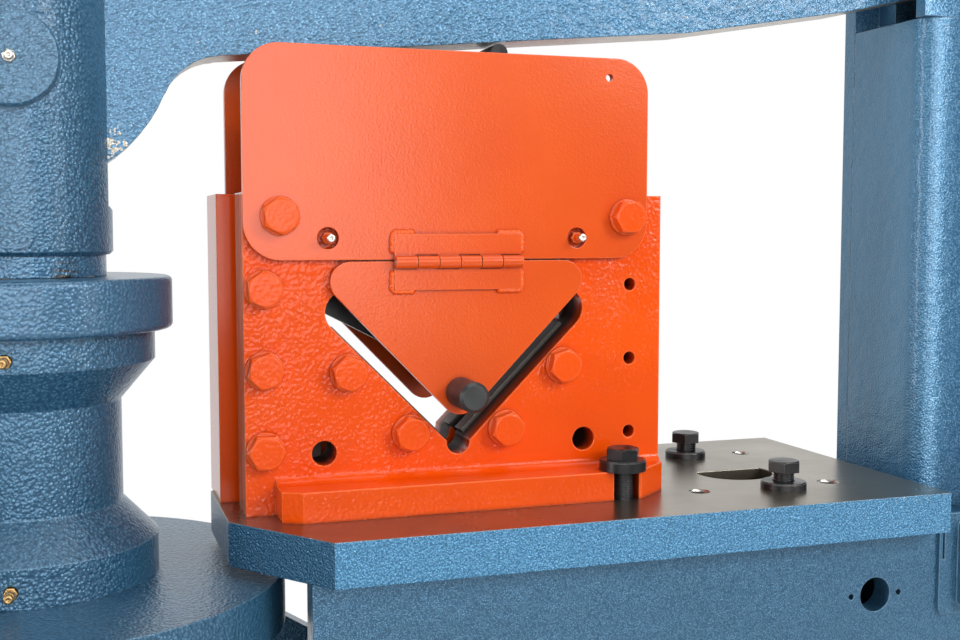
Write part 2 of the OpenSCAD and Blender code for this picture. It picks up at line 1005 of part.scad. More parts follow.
module plate_bolts() {
    color(paint_orange)
        for (i = [0 : len(plate_bolt_rises) - 1]) {
            z = table_z + plate_bolt_rises[i];
            face_bolt(left_bolt_x, z, shear_front, plate_bolt_deep, i * head_turn);
            mirror([0, 1, 0])
                face_bolt(right_bolt_x, z, shear_front, shear_plate_t + blade_t, i * head_turn);
        }
}

module guard() {
    upright(shear_front - guard_t, shear_front)
        difference() {
            round_rect([shear_x, table_z + guard_bottom_rise],
                [shear_x + shear_w - guard_right_inset, table_z + guard_top_rise], guard_r);
            for (x = [nipple_x, nipple_right_x])
                translate([shear_x + x, table_z + nipple_rise])
                    circle(d = nipple_hole_d);
            for (x = [guard_bolt_x, guard_bolt_right_x])
                translate([shear_x + x, table_z + guard_bolt_rise])
                    circle(bolt_d / 2 + thread_fit);
            translate([shear_x + hang_hole_x, table_z + hang_hole_rise])
                circle(d = hang_hole_d);
        }
}

module front_guard() {
    color(paint_orange)
        guard();
}

module back_guard() {
    color(paint_orange)
        mirror([0, 1, 0])
            guard();
}

module guard_bolts() {
    color(paint_orange)
        both_faces()
            for (place = [[guard_bolt_x, 2 * head_turn], [guard_bolt_right_x, 0]])
                face_bolt(shear_x + place[0], table_z + guard_bolt_rise, shear_front - guard_t,
                    guard_bolt_deep, place[1]);
}

module shear_grease_nipples() {
    color(steel)
        both_faces()
            for (x = [nipple_x, nipple_right_x])
                translate([shear_x + x, shear_front, table_z + nipple_rise])
                    rotate([90, 0, 0])
                        nipple();
}

// Every second knuckle of a hinge, with the leaf that joins them; up is 1 for the upper leaf
module hinge_half(first, up) {
    pitch = hinge_length / knuckles;
    for (i = [first : 2 : knuckles - 1])
        difference() {
            along_x(hinge_x + i * pitch + knuckle_gap / 2, hinge_x + (i + 1) * pitch - knuckle_gap / 2) {
                translate([hinge_y, hinge_z])
                    circle(hinge_r);
                rect([shear_front - guard_t - hinge_leaf_t, min(hinge_z, hinge_z + up * leaf_clear)],
                    [shear_front - guard_t, max(hinge_z, hinge_z + up * leaf_clear)]);
            }
            along_x(hinge_x - overrun, hinge_x + hinge_length + overrun)
                translate([hinge_y, hinge_z])
                    circle(hinge_pin_r + run_fit);
        }
    block([hinge_x, shear_front - guard_t - hinge_leaf_t, hinge_z + min(up * leaf_clear, up * hinge_leaf_h)],
        [hinge_x + hinge_length, shear_front - guard_t, hinge_z + max(up * leaf_clear, up * hinge_leaf_h)]);
}

module fixed_hinge_leaves() {
    color(paint_orange)
        both_faces()
            hinge_half(0, 1);
}

module hinge_pins() {
    color(steel)
        both_faces()
            along_x(hinge_x, hinge_x + hinge_length)
                translate([hinge_y, hinge_z])
                    circle(hinge_pin_r);
}

module flap() {
    upright(shear_front - guard_t, shear_front - flap_face_gap)
        difference() {
            round_poly([[v_x, table_z + flap_tip_rise + flap_r],
                [v_x + flap_half, table_z + flap_top_rise - flap_r],
                [v_x - flap_half, table_z + flap_top_rise - flap_r]], flap_r);
            translate([v_x, table_z + knob_rise])
                circle(d = knob_stud_d + 2 * thread_fit);
        }
}

module knob() {
    translate([v_x, shear_front - guard_t, table_z + knob_rise])
        rotate([90, 0, 0]) {
            cylinder(d = knob_d, h = knob_l - knob_chamfer);
            translate([0, 0, knob_l - knob_chamfer])
                cylinder(d1 = knob_d, d2 = knob_d - 2 * knob_chamfer, h = knob_chamfer);
            translate([0, 0, flap_face_gap - guard_t])
                cylinder(d = knob_stud_d, h = guard_t - flap_face_gap);
        }
}

module front_flap() {
    color(paint_orange)
        flap();
}

module front_flap_leaf() {
    color(paint_orange)
        hinge_half(1, -1);
}

module front_knob() {
    color(black_steel)
        knob();
}

module back_flap() {
    color(paint_orange)
        mirror([0, 1, 0])
            flap();
}

module back_flap_leaf() {
    color(paint_orange)
        mirror([0, 1, 0])
            hinge_half(1, -1);
}

module back_knob() {
    color(black_steel)
        mirror([0, 1, 0])
            knob();
}

module pusher_head() {
    finger_x = v_x + finger_from_v;
    finger_z = table_z + finger_rise - finger_r;
    color(black_steel) {
        difference() {
            upright(-head_t / 2, head_t / 2)
                round_rect([v_x - head_w / 2, table_z + pusher_bottom],
                    [v_x + head_w / 2, table_z + head_top_rise], head_r);
            block([v_x - head_w, -blade_t / 2 - seat_gap, table_z + pusher_bottom - overrun],
                [v_x + head_w, blade_t / 2 + seat_gap, table_z + pusher_bottom + tongue_l + seat_gap]);
        }
        upright(-finger_half, finger_half) {
            rect([finger_x - finger_r, table_z + head_top_rise - head_r], [finger_x + finger_r, finger_z]);
            translate([finger_x, finger_z])
                circle(finger_r);
        }
    }
}

module moving_blade() {
    low = v_apex_z + fixed_blade_proud * root_two + blade_gap;
    tip_cut = tip_r / root_two;
    ear = low + ear_from_middle + (slide_half - ear_from_middle) * ear_slope_share;
    top = table_z + pusher_bottom - shoulder_drop;
    color(black_steel)
        upright(-blade_t / 2, blade_t / 2) {
            polygon([[v_x + tip_cut, low + tip_cut], [v_x + ear_from_middle, low + ear_from_middle],
                [v_x + slide_half, ear], [v_x + slide_half, top], [v_x - slide_half, top],
                [v_x - slide_half, ear], [v_x - ear_from_middle, low + ear_from_middle],
                [v_x - tip_cut, low + tip_cut]]);
            translate([v_x, low + tip_r * root_two])
                circle(tip_r);
            rect([v_x - head_w / 2, top - overrun], [v_x + head_w / 2, table_z + pusher_bottom + tongue_l]);
        }
}

// Direction of the line that touches two circles on one side; side is 1 above and -1 below
function touch_angle(c1, r1, c2, r2, side) =
    atan2(c2[1] - c1[1], c2[0] - c1[0]) + side * acos((r1 - r2) / norm(c2 - c1));

// Point just inside a circle in a direction
function rim(c, r, angle) = c + (r - touch_step) * [cos(angle), sin(angle)];

module beam_outline() {
    slope = atan2(bend_rise - fillet_rise - fillet_r, tower_x - bend_from_tower - ram_x - fillet_x);
    lobe = [ram_x, table_z + lobe_rise];
    hub = [fulcrum_x, fulcrum_z];
    eye = [cylinder_x, table_z + eye_rise];
    fillet = [ram_x + fillet_x, table_z + fillet_rise];
    touch = lobe + (fillet - lobe) * lobe_r / norm(fillet - lobe);
    leave = fillet + [-sin(slope), cos(slope)] * fillet_r;
    top_left = touch_angle(lobe, lobe_r, hub, hub_r, 1);
    top_right = touch_angle(hub, hub_r, eye, eye_r, 1);
    low_right = touch_angle(hub, hub_r, eye, eye_r, -1);
    difference() {
        union() {
            translate(lobe)
                circle(lobe_r);
            polygon([rim(lobe, lobe_r, top_left), lobe, touch, fillet, leave,
                [tower_x - bend_from_tower, table_z + bend_rise],
                [tower_x - throat_from_tower, table_z + throat_rise],
                [tower_x + neck_into_tower, table_z + neck_rise],
                rim(hub, hub_r, low_right), rim(eye, eye_r, low_right), rim(eye, eye_r, top_right),
                rim(hub, hub_r, top_right), rim(hub, hub_r, top_left)]);
            translate(hub)
                circle(hub_r);
            translate(eye)
                circle(eye_r);
        }
        translate(fillet)
            circle(fillet_r - touch_step);
        for (x = [-eye_slot, 0])
            translate([ram_x + x, table_z + pin_rise])
                circle(ram_pin_r + eye_play);
        rect([ram_x - eye_slot, table_z + pin_rise - ram_pin_r - eye_play],
            [ram_x, table_z + pin_rise + ram_pin_r + eye_play]);
        translate(eye)
            circle(rod_pin_r + rod_play);
    }
}

module rocker_beam() {
    color(paint_blue)
        difference() {
            union() {
                upright(-beam_t / 2, beam_t / 2)
                    beam_outline();
                upright(-inner_half + hub_side_gap, inner_half - hub_side_gap)
                    translate([fulcrum_x, fulcrum_z])
                        circle(hub_boss_r);
            }
            upright(-half_frame, half_frame)
                translate([fulcrum_x, fulcrum_z])
                    circle(fulcrum_pin_r + bush_wall + run_fit);
        }
}

module fulcrum_bush() {
    color(bronze)
        upright(-inner_half + hub_side_gap, inner_half - hub_side_gap)
            translate([fulcrum_x, fulcrum_z])
                difference() {
                    circle(fulcrum_pin_r + bush_wall);
                    circle(fulcrum_pin_r + run_fit);
                }
}

module ram() {
    color(paint_blue)
        difference() {
            union() {
                post(ram_x, 0, ram_d / 2, table_z + ram_bottom + ram_edge, table_z + ram_top_rise);
                translate([ram_x, 0, table_z + ram_bottom])
                    cylinder(d1 = ram_d - 2 * ram_edge, d2 = ram_d, h = ram_edge);
                upright(-boss_half, boss_half)
                    translate([ram_x, table_z + pin_rise])
                        circle(cap_d / 2);
            }
            upright(-beam_t / 2 - guide_gap, beam_t / 2 + guide_gap)
                polygon([[ram_x - ram_d, table_z + ram_top_rise + overrun],
                    [ram_x - ram_d, table_z + fork_bottom - ram_d / 2 - fork_edge],
                    [ram_x - ram_d / 2 + fork_edge, table_z + fork_bottom],
                    [ram_x + ram_d / 2 - fork_edge, table_z + fork_bottom],
                    [ram_x + ram_d, table_z + fork_bottom - ram_d / 2 - fork_edge],
                    [ram_x + ram_d, table_z + ram_top_rise + overrun]]);
            upright(-half_frame, half_frame)
                translate([ram_x, table_z + pin_rise])
                    circle(ram_pin_r + run_fit);
            post(ram_x, 0, shaft_d / 2 + run_fit, table_z + ram_bottom - overrun, table_z + spigot_top);
        }
}

module ram_pin() {
    color(steel)
        upright(-boss_half, boss_half)
            translate([ram_x, table_z + pin_rise])
                circle(ram_pin_r);
}

module pin_caps() {
    color(paint_blue)
        both_faces()
            translate([ram_x, -boss_half, table_z + pin_rise])
                rotate([90, 0, 0]) {
                    cylinder(d = cap_d, h = cap_t - cap_edge);
                    translate([0, 0, cap_t - cap_edge])
                        cylinder(d1 = cap_d, d2 = cap_d - 2 * cap_edge, h = cap_edge);
                }
}

module turret_shaft() {
    color(paint_blue) {
        post(ram_x, 0, neck_d / 2, table_z + neck_bottom + face_gap, table_z + ram_bottom);
        post(ram_x, 0, shaft_d / 2, table_z + shaft_bottom, table_z + spigot_top);
    }
}

module shaft_nut() {
    color(black_steel)
        difference() {
            post(ram_x, 0, nut_d / 2, table_z + disc_bottom - face_gap - nut_t,
                table_z + disc_bottom - face_gap);
            post(ram_x, 0, shaft_d / 2 + thread_fit, table_z + disc_bottom - nut_t - overrun, table_z);
            for (i = [0 : nut_slots - 1])
                rotate_at_ram(i * 360 / nut_slots)
                    block([nut_d / 2 - nut_slot_deep, -nut_slot_w / 2,
                        table_z + disc_bottom - nut_t - overrun],
                        [nut_d, nut_slot_w / 2, table_z + disc_bottom]);
        }
}

// Turns the children about the ram's axis; they are drawn as if the axis were at X = 0
module rotate_at_ram(angle) {
    translate([ram_x, 0, 0])
        rotate(angle)
            children();
}

// Draws the children at each punch place
module at_punches() {
    for (i = [0 : punch_count - 1])
        rotate_at_ram(punch_turn + i * 360 / punch_count)
            translate([punch_pitch_r, 0, table_z])
                children();
}

module turret_hub() {
    color(paint_blue)
        difference() {
            translate([ram_x, 0, table_z])
                rotate_extrude() {
                    polygon([[hub_bore_d / 2, hub_bottom], [hub_end_d / 2, hub_bottom],
                        [hub_end_d / 2, hub_low_cone], [waist_d / 2, waist_bottom], [waist_d / 2, waist_top],
                        [hub_end_d / 2, hub_step], [hub_end_d / 2, neck_bottom],
                        [hub_bore_d / 2, neck_bottom]]);
                    round_rect([waist_d / 2, flange_bottom], [flange_d / 2, neck_bottom], flange_round);
                }
            hub_nipple_seats();
        }
}

module hub_nipple_seats() {
    for (rise = [hub_nipple_top, hub_nipple_low])
        rotate_at_ram(nipple_turn)
            translate([0, -hub_end_d / 2 + nipple_seat, table_z + rise])
                rotate([90, 0, 0])
                    cylinder(r = nipple_base_r + thread_fit, h = hub_end_d);
}

module hub_grease_nipples() {
    color(bronze)
        for (rise = [hub_nipple_top, hub_nipple_low])
            rotate_at_ram(nipple_turn)
                translate([0, -hub_end_d / 2 + nipple_seat, table_z + rise])
                    rotate([90, 0, 0])
                        nipple();
}

module hub_bushes() {
    color(bronze)
        for (z = [hub_bottom, neck_bottom - hub_bush_l])
            difference() {
                post(ram_x, 0, hub_bore_d / 2 - run_fit, table_z + z, table_z + z + hub_bush_l);
                post(ram_x, 0, shaft_d / 2 + run_fit, table_z + z - overrun,
                    table_z + z + hub_bush_l + overrun);
            }
}

module upper_disc() {
    color(paint_blue)
        difference() {
            post(ram_x, 0, disc_d / 2, table_z + disc_bottom, table_z + hub_bottom);
            post(ram_x, 0, hub_bore_d / 2, table_z + disc_bottom - overrun, table_z);
        }
}

module punch_nuts() {
    color(black_steel)
        at_punches()
            difference() {
                post(0, 0, punch_nut_d / 2, disc_bottom - punch_nut_t, disc_bottom);
                post(0, 0, punch_head_d / 2 + seat_gap, disc_bottom - punch_head_t, disc_bottom + overrun);
                post(0, 0, punch_d / 2 + seat_gap, disc_bottom - punch_nut_t - overrun, disc_bottom);
            }
}

module punches() {
    color(steel)
        at_punches() {
            post(0, 0, punch_d / 2, punch_tip, disc_bottom - punch_head_t);
            post(0, 0, punch_head_d / 2, disc_bottom - punch_head_t, disc_bottom);
        }
}

module strippers() {
    color(stripper_red)
        at_punches()
            difference() {
                post(0, 0, stripper_d / 2, disc_bottom - punch_nut_t - stripper_l, disc_bottom - punch_nut_t);
                post(0, 0, stripper_bore_d / 2, disc_bottom - punch_nut_t - stripper_l - overrun,
                    disc_bottom - punch_nut_t + overrun);
            }
}

module lower_disc() {
    color(paint_blue)
        difference() {
            post(ram_x, 0, disc_d / 2, table_z + lower_bottom, table_z + lower_top);
            post(ram_x, 0, arm_bush_d / 2 + run_fit, table_z + lower_bottom - overrun, table_z);
            at_punches() {
                post(0, 0, die_d / 2 + run_fit, lower_top - die_sink, lower_top + overrun);
                post(0, 0, slug_drop_d / 2, lower_bottom - overrun, lower_top);
            }
        }
}

module dies() {
    color(steel)
        at_punches()
            difference() {
                post(0, 0, die_d / 2, lower_top - die_sink, die_rise);
                post(0, 0, die_bore_d / 2, lower_top - die_sink - overrun, die_rise + overrun);
            }
}

module cylinder_barrel() {
    color(black_steel)
        difference() {
            union() {
                post(cylinder_x, 0, barrel_r, table_z + barrel_bottom, table_z + barrel_top);
                for (z = [barrel_bottom, barrel_top - gland_h])
                    post(cylinder_x, 0, barrel_r + gland_out, table_z + z, table_z + z + gland_h);
            }
            post(cylinder_x, 0, bore_r, table_z + barrel_bottom + gland_h, table_z + barrel_top - gland_h);
            post(cylinder_x, 0, rod_r + run_fit, table_z + barrel_bottom + gland_h,
                table_z + barrel_top + overrun);
        }
}

module cylinder_rod() {
    color(steel)
        difference() {
            union() {
                post(cylinder_x, 0, rod_r, table_z + barrel_bottom + gland_h + piston_low,
                    table_z + eye_rise - eye_r - fork_clear);
                post(cylinder_x, 0, bore_r - run_fit, table_z + barrel_bottom + gland_h + piston_low,
                    table_z + barrel_bottom + gland_h + piston_low + piston_h);
                upright(-fork_half, fork_half) {
                    translate([cylinder_x, table_z + eye_rise])
                        circle(fork_r);
                    rect([cylinder_x - fork_r, table_z + eye_rise - eye_r - fork_base],
                        [cylinder_x + fork_r, table_z + eye_rise]);
                }
            }
            block([cylinder_x - eye_r * 2, -beam_t / 2 - guide_gap, table_z + eye_rise - eye_r - fork_clear],
                [cylinder_x + eye_r * 2, beam_t / 2 + guide_gap, table_z + eye_rise + eye_r * 2]);
            upright(-half_frame, half_frame)
                translate([cylinder_x, table_z + eye_rise])
                    circle(rod_pin_r + run_fit);
        }
}

module rod_pin() {
    color(steel)
        upright(-fork_half - pin_out, fork_half + pin_out)
            translate([cylinder_x, table_z + eye_rise])
                circle(rod_pin_r);
}

module oil_tank() {
    color(paint_blue)
        upright(half_frame, half_frame + tank_w)
            round_rect([tank_x - tank_l / 2, tank_z], [tank_x + tank_l / 2, tank_z + tank_h], tank_r);
}

module pump_motor() {
    y = half_frame + tank_w / 2;
    z = tank_z + tank_h;
    color(black_steel) {
        post(tank_x - motor_off, y, motor_r, z, z + motor_l);
        block([tank_x - motor_off - motor_r, y - motor_r, z],
            [tank_x - motor_off + motor_r, y + motor_r, z + motor_flange]);
        block([tank_x - motor_off + motor_r - motor_box_in, y - motor_box / 2, z + motor_l / 2],
            [tank_x - motor_off + motor_r + motor_box_out, y + motor_box / 2, z + motor_l / 2 + motor_box]);
    }
}

module valve_block() {
    y = half_frame + tank_w / 2;
    z = tank_z + tank_h;
    color(steel) {
        block([tank_x + motor_off - valve_l / 2, y - valve_t / 2, z],
            [tank_x + motor_off + valve_l / 2, y + valve_t / 2, z + valve_h]);
        translate([tank_x + motor_off - valve_l / 2 - coil_l, y, z + valve_h / 2])
            rotate([0, 90, 0])
                cylinder(d = coil_d, h = 2 * coil_l + valve_l);
    }
}

module panel_place(i) {
    translate([panel_x + panel_w / 2 + i * button_space / 2, -half_frame - panel_t,
        table_z - panel_drop - panel_h / 2])
        rotate([90, 0, 0])
            children();
}

module control_panel() {
    color(paint_blue)
        difference() {
            union() {
                upright(-half_frame - panel_rim_t, -half_frame)
                    round_rect([panel_x, table_z - panel_drop - panel_h],
                        [panel_x + panel_w, table_z - panel_drop], panel_r);
                upright(-half_frame - panel_t, -half_frame)
                    round_rect([panel_x + panel_rim, table_z - panel_drop - panel_h + panel_r],
                        [panel_x + panel_w - panel_r, table_z - panel_drop - panel_r], panel_r);
            }
            translate([panel_x + latch_slot_in, 0, table_z - panel_drop - latch_slot_drop])
                block([0, -half_frame - panel_t, -latch_slot_h], [latch_slot_w, -half_frame + overrun, 0]);
            for (i = [-1, 1])
                panel_place(i)
                    translate([0, 0, -button_deep])
                        cylinder(d = button_d + 2 * button_clear, h = panel_t);
        }
}

module start_button() {
    color(button_green)
        panel_place(-1)
            translate([0, 0, button_stroke - button_deep])
                cylinder(d = button_d, h = button_deep + button_l - button_stroke);
}

module stop_button() {
    color(button_red)
        panel_place(1) {
            translate([0, 0, button_stroke - button_deep])
                cylinder(d = button_d, h = button_deep + button_l - button_stroke);
            translate([0, 0, button_l - button_stroke])
                cylinder(d = stop_d, h = button_stroke * 2);
        }
}

front_side_plate();
back_side_plate();
cross_feet();
inner_cross_plates();
deck_plate();
tower_nose();
beam_guides();
tower_cover();
fulcrum_pin();
fulcrum_caps();
tool_table();
hold_down_bolts();
hold_down_washers();
turret_arm();
arm_bush();
shear_front_plate();
shear_back_plate();
shear_spacers();
fixed_blades();
blade_bolts();
plate_bolts();
front_guard();
back_guard();
guard_bolts();
shear_grease_nipples();
fixed_hinge_leaves();
hinge_pins();
oil_tank();
pump_motor();
valve_block();
control_panel();
cylinder_barrel();
front_flap();
front_flap_leaf();
front_knob();
back_flap();
back_flap_leaf();
back_knob();
pusher_head();
moving_blade();
rocker_beam();
fulcrum_bush();
ram();
ram_pin();
pin_caps();
turret_shaft();
shaft_nut();
turret_hub();
hub_bushes();
upper_disc();
punch_nuts();
punches();
strippers();
hub_grease_nipples();
lower_disc();
dies();
cylinder_rod();
rod_pin();
start_button();
stop_button();
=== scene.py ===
"""Dresses the CAD model of an ironworker: paint, steel, small details, studio light and the camera."""

import json
import math

import bmesh
import bpy
from mathutils import Matrix, Vector

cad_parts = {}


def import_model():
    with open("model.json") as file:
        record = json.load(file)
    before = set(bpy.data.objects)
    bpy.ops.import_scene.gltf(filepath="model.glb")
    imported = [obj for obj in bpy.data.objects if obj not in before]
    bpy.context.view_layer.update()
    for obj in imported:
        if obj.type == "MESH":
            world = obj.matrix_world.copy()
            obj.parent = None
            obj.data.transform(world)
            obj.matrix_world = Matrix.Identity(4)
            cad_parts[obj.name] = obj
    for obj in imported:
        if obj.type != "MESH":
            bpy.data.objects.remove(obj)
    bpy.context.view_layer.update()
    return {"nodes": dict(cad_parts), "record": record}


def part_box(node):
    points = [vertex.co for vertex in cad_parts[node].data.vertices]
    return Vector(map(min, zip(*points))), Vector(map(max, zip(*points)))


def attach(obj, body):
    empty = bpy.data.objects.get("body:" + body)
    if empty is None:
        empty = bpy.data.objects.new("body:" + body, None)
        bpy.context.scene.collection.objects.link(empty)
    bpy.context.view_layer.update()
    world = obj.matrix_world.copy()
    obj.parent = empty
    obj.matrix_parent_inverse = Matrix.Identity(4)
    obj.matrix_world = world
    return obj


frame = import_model()
cad = frame["nodes"]

# Places and sizes of the CAD model, in metres

MM = 0.001
TABLE_Z = 0.940
TABLE_RIGHT = 0.0795
TABLE_HALF = 0.139
TABLE_RIM = 0.010
TABLE_HOLES_LEFT = -0.25
RAM_X = -0.6175
PIN_Z = TABLE_Z + 0.321
PIN_CAP_OUT = 0.078
NECK_FOOT = TABLE_Z + 0.176
FLANGE_LOW = TABLE_Z + 0.138
HUB_NIPPLE_OUT = 0.103
HUB_NIPPLE_TURN = math.radians(-4.4)
HUB_NIPPLE_RISES = (0.124, -0.028)
SHEAR_X = RAM_X + 0.152
SHEAR_W = 0.332
SHEAR_H = 0.236
SHEAR_FRONT = -0.046
SHEAR_NIPPLE_X = (SHEAR_X + 0.061, SHEAR_X + 0.257)
SHEAR_NIPPLE_Y = SHEAR_FRONT - 0.014
SHEAR_NIPPLE_Z = TABLE_Z + 0.203
CLAMP_X = SHEAR_X + 0.2882
CLAMP_Y = SHEAR_FRONT - 0.0266
GUARD_FACE = SHEAR_FRONT - 0.006
HINGE_X = SHEAR_X + 0.110
HINGE_Z = TABLE_Z + 0.1852
HINGE_LENGTH = 0.100
LEAF_NEAR = 0.0055
LEAF_FAR = 0.021
TOOL_X = -0.0483
TOOL_BOLTS = ((TOOL_X + 0.011, -0.080), (TOOL_X + 0.0035, 0.0705))
TAP_X = 0.060
TAP_Y = 0.070
UP = (0.0, 0.0, 1.0)

# Colours of the paints and metals

HAMMER_DARK = (0.026, 0.104, 0.194)
HAMMER_BLUE = (0.050, 0.164, 0.284)
HAMMER_PALE = (0.118, 0.275, 0.410)
SIDE_BLUE = (0.052, 0.168, 0.286)
# Painted highlight: a lighter blue along the edges of the blue paints.
EDGE_HIGHLIGHT_BLUE = (0.11, 0.23, 0.34)
FLANGE_BLUE = (0.046, 0.128, 0.226)
# Painted shade: a dark blue for the table's left-facing chamfers.
CHAMFER_SHADE_BLUE = (0.006, 0.050, 0.105)
# Wear and painted highlight on the table's top edges.
WORN_AND_HIGHLIGHT_BLUE = (0.24, 0.36, 0.45)
CHIPPED = (0.62, 0.60, 0.55)
BUFF_DARK = (0.33, 0.29, 0.23)
BUFF_PALE = (0.52, 0.47, 0.39)
GREASE = (0.030, 0.022, 0.014)
ORANGE_DEEP = (0.76, 0.072, 0.002)
ORANGE_CLEAR = (0.81, 0.085, 0.003)
# Painted highlight: a lighter orange along edges.
ORANGE_EDGE_HIGHLIGHT = (0.95, 0.17, 0.04)
# Painted shade and dirt: a dark red for orange corners and gaps.
ORANGE_CORNER_SHADE_AND_DIRT = (0.22, 0.013, 0.001)
# Painted shade: near black for walls deep in holes and for hidden spacer faces.
HOLLOW_SHADE = (0.035, 0.009, 0.005)
SCRAPED_DARK = (0.30, 0.13, 0.07)
SCRAPED_PALE = (0.66, 0.40, 0.27)
TABLE_STEEL_DARK = (0.23, 0.205, 0.165)
TABLE_STEEL_PALE = (0.325, 0.29, 0.24)


# Nodes that the materials are made of


def new_material(name):
    """An empty node material with its Principled shader and its node tree."""
    material = bpy.data.materials.new(name)
    material.use_nodes = True
    tree = material.node_tree
    return material, tree, tree.nodes["Principled BSDF"]


def add(tree, kind, **sockets):
    """Adds a node and sets its input sockets; underscores in a socket's name stand for spaces."""
    node = tree.nodes.new(kind)
    for key, value in sockets.items():
        node.inputs[key.replace("_", " ")].default_value = value
    return node


def object_coordinates(tree):
    return tree.nodes.new("ShaderNodeTexCoord").outputs["Object"]


def noise(tree, where, scale, detail=2.0, roughness=0.5):
    node = add(tree, "ShaderNodeTexNoise", Scale=scale, Detail=detail, Roughness=roughness)
    tree.links.new(where, node.inputs["Vector"])
    return node.outputs["Fac"]


def streaks(tree, where, scales):
    """Noise with its own scale along each axis."""
    mapping = add(tree, "ShaderNodeMapping", Scale=scales)
    tree.links.new(where, mapping.inputs["Vector"])
    return noise(tree, mapping.outputs["Vector"], 1.0)


def cells(tree, where, scale, smooth):
    node = tree.nodes.new("ShaderNodeTexVoronoi")
    node.feature = "SMOOTH_F1"
    node.inputs["Scale"].default_value = scale
    node.inputs["Smoothness"].default_value = smooth
    tree.links.new(where, node.inputs["Vector"])
    return node.outputs["Distance"]


def ramp(tree, value, stops):
    """Colour ramp through (position, colour) stops."""
    node = tree.nodes.new("ShaderNodeValToRGB")
    elements = node.color_ramp.elements
    while len(elements) < len(stops):
        elements.new(0.5)
    for element, (place, colour) in zip(elements, stops):
        element.position = place
        element.color = (*colour, 1.0)
    tree.links.new(value, node.inputs["Fac"])
    return node.outputs["Color"]


def grey_ramp(tree, value, low, high):
    """Grey that goes from low to high over the middle of a noise's range."""
    return ramp(tree, value, [(0.3, (low,) * 3), (0.7, (high,) * 3)])


def scaled(tree, value, low, high):
    """0 at low and 1 at high, with a straight line between."""
    node = add(tree, "ShaderNodeMapRange", From_Min=low, From_Max=high, To_Min=0.0, To_Max=1.0)
    tree.links.new(value, node.inputs["Value"])
    return node.outputs["Result"]


def math_node(tree, operation, a, b):
    node = tree.nodes.new("ShaderNodeMath")
    node.operation = operation
    for socket, value in zip(node.inputs, (a, b)):
        if isinstance(value, (int, float)):
            socket.default_value = value
        else:
            tree.links.new(value, socket)
    return node.outputs["Value"]


def plus(tree, a, b):
    return math_node(tree, "ADD", a, b)


def times(tree, first, *others):
    for other in others:
        first = math_node(tree, "MULTIPLY", first, other)
    return first


def rest_of(tree, share):
    """What share leaves of 1."""
    return math_node(tree, "SUBTRACT", 1.0, share)


def unsigned(tree, value):
    return math_node(tree, "ABSOLUTE", value, 0.0)


def above(tree, value, limit):
    return math_node(tree, "GREATER_THAN", value, limit)


def below(tree, value, limit):
    return math_node(tree, "LESS_THAN", value, limit)


def larger(tree, a, b):
    return math_node(tree, "MAXIMUM", a, b)


def blended(tree, a, b, share):
    """a and b added, with share of b."""
    return plus(tree, times(tree, a, 1.0 - share), times(tree, b, share))


def mix_colour(tree, factor, a, b, blend="MIX"):
    node = tree.nodes.new("ShaderNodeMix")
    node.data_type = "RGBA"
    node.blend_type = blend
    for socket, value in ((node.inputs[0], factor), (node.inputs[6], a), (node.inputs[7], b)):
        if isinstance(value, tuple):
            socket.default_value = (*value, 1.0)
        elif isinstance(value, (int, float)):
            socket.default_value = value
        else:
            tree.links.new(value, socket)
    return node.outputs[2]


def place_part(tree, where, axis):
    """One coordinate of a place or a direction."""
    parts = tree.nodes.new("ShaderNodeSeparateXYZ")
    tree.links.new(where, parts.inputs["Vector"])
    return parts.outputs[axis]


def normal_part(tree, axis):
    """One coordinate of the surface's true normal, which turns with the piece."""
    geometry = tree.nodes.new("ShaderNodeNewGeometry")
    own = tree.nodes.new("ShaderNodeVectorTransform")
    own.vector_type = "NORMAL"
    own.convert_from = "WORLD"
    own.convert_to = "OBJECT"
    tree.links.new(geometry.outputs["True Normal"], own.inputs["Vector"])
    return place_part(tree, own.outputs["Vector"], axis)


def facing(tree, axis, low, high):
    """0 to 1 as the surface turns to face along axis, either way."""
    return scaled(tree, unsigned(tree, normal_part(tree, axis)), low, high)


def near_place(tree, where, place, reach):
    """1 near a place and 0 farther than reach from it."""
    away = tree.nodes.new("ShaderNodeVectorMath")
    away.operation = "DISTANCE"
    away.inputs[1].default_value = place
    tree.links.new(where, away.inputs[0])
    return scaled(tree, away.outputs["Value"], reach, 0.25 * reach)


def rounded_normal(tree, radius):
    """Normal that rounds the edges within radius."""
    node = tree.nodes.new("ShaderNodeBevel")
    node.samples = 6
    node.inputs["Radius"].default_value = radius
    return node.outputs["Normal"]


def bump(tree, height, strength, distance, normal):
    node = add(tree, "ShaderNodeBump", Strength=strength, Distance=distance)
    tree.links.new(height, node.inputs["Height"])
    tree.links.new(normal, node.inputs["Normal"])
    return node.outputs["Normal"]


def edge_mask(tree, normal):
    """1 where the rounded normal leaves the true one, which is along edges."""
    geometry = tree.nodes.new("ShaderNodeNewGeometry")
    dot = tree.nodes.new("ShaderNodeVectorMath")
    dot.operation = "DOT_PRODUCT"
    tree.links.new(geometry.outputs["Normal"], dot.inputs[0])
    tree.links.new(normal, dot.inputs[1])
    return scaled(tree, dot.outputs["Value"], 0.995, 0.90)


def corner_shade_and_dirt(tree, reach):
    """1 in corners and narrow gaps, where painted shade and dirt darken them."""
    node = tree.nodes.new("ShaderNodeAmbientOcclusion")
    node.samples = 6
    node.inputs["Distance"].default_value = reach
    return scaled(tree, node.outputs["AO"], 0.80, 0.35)


# Blue hammered paint


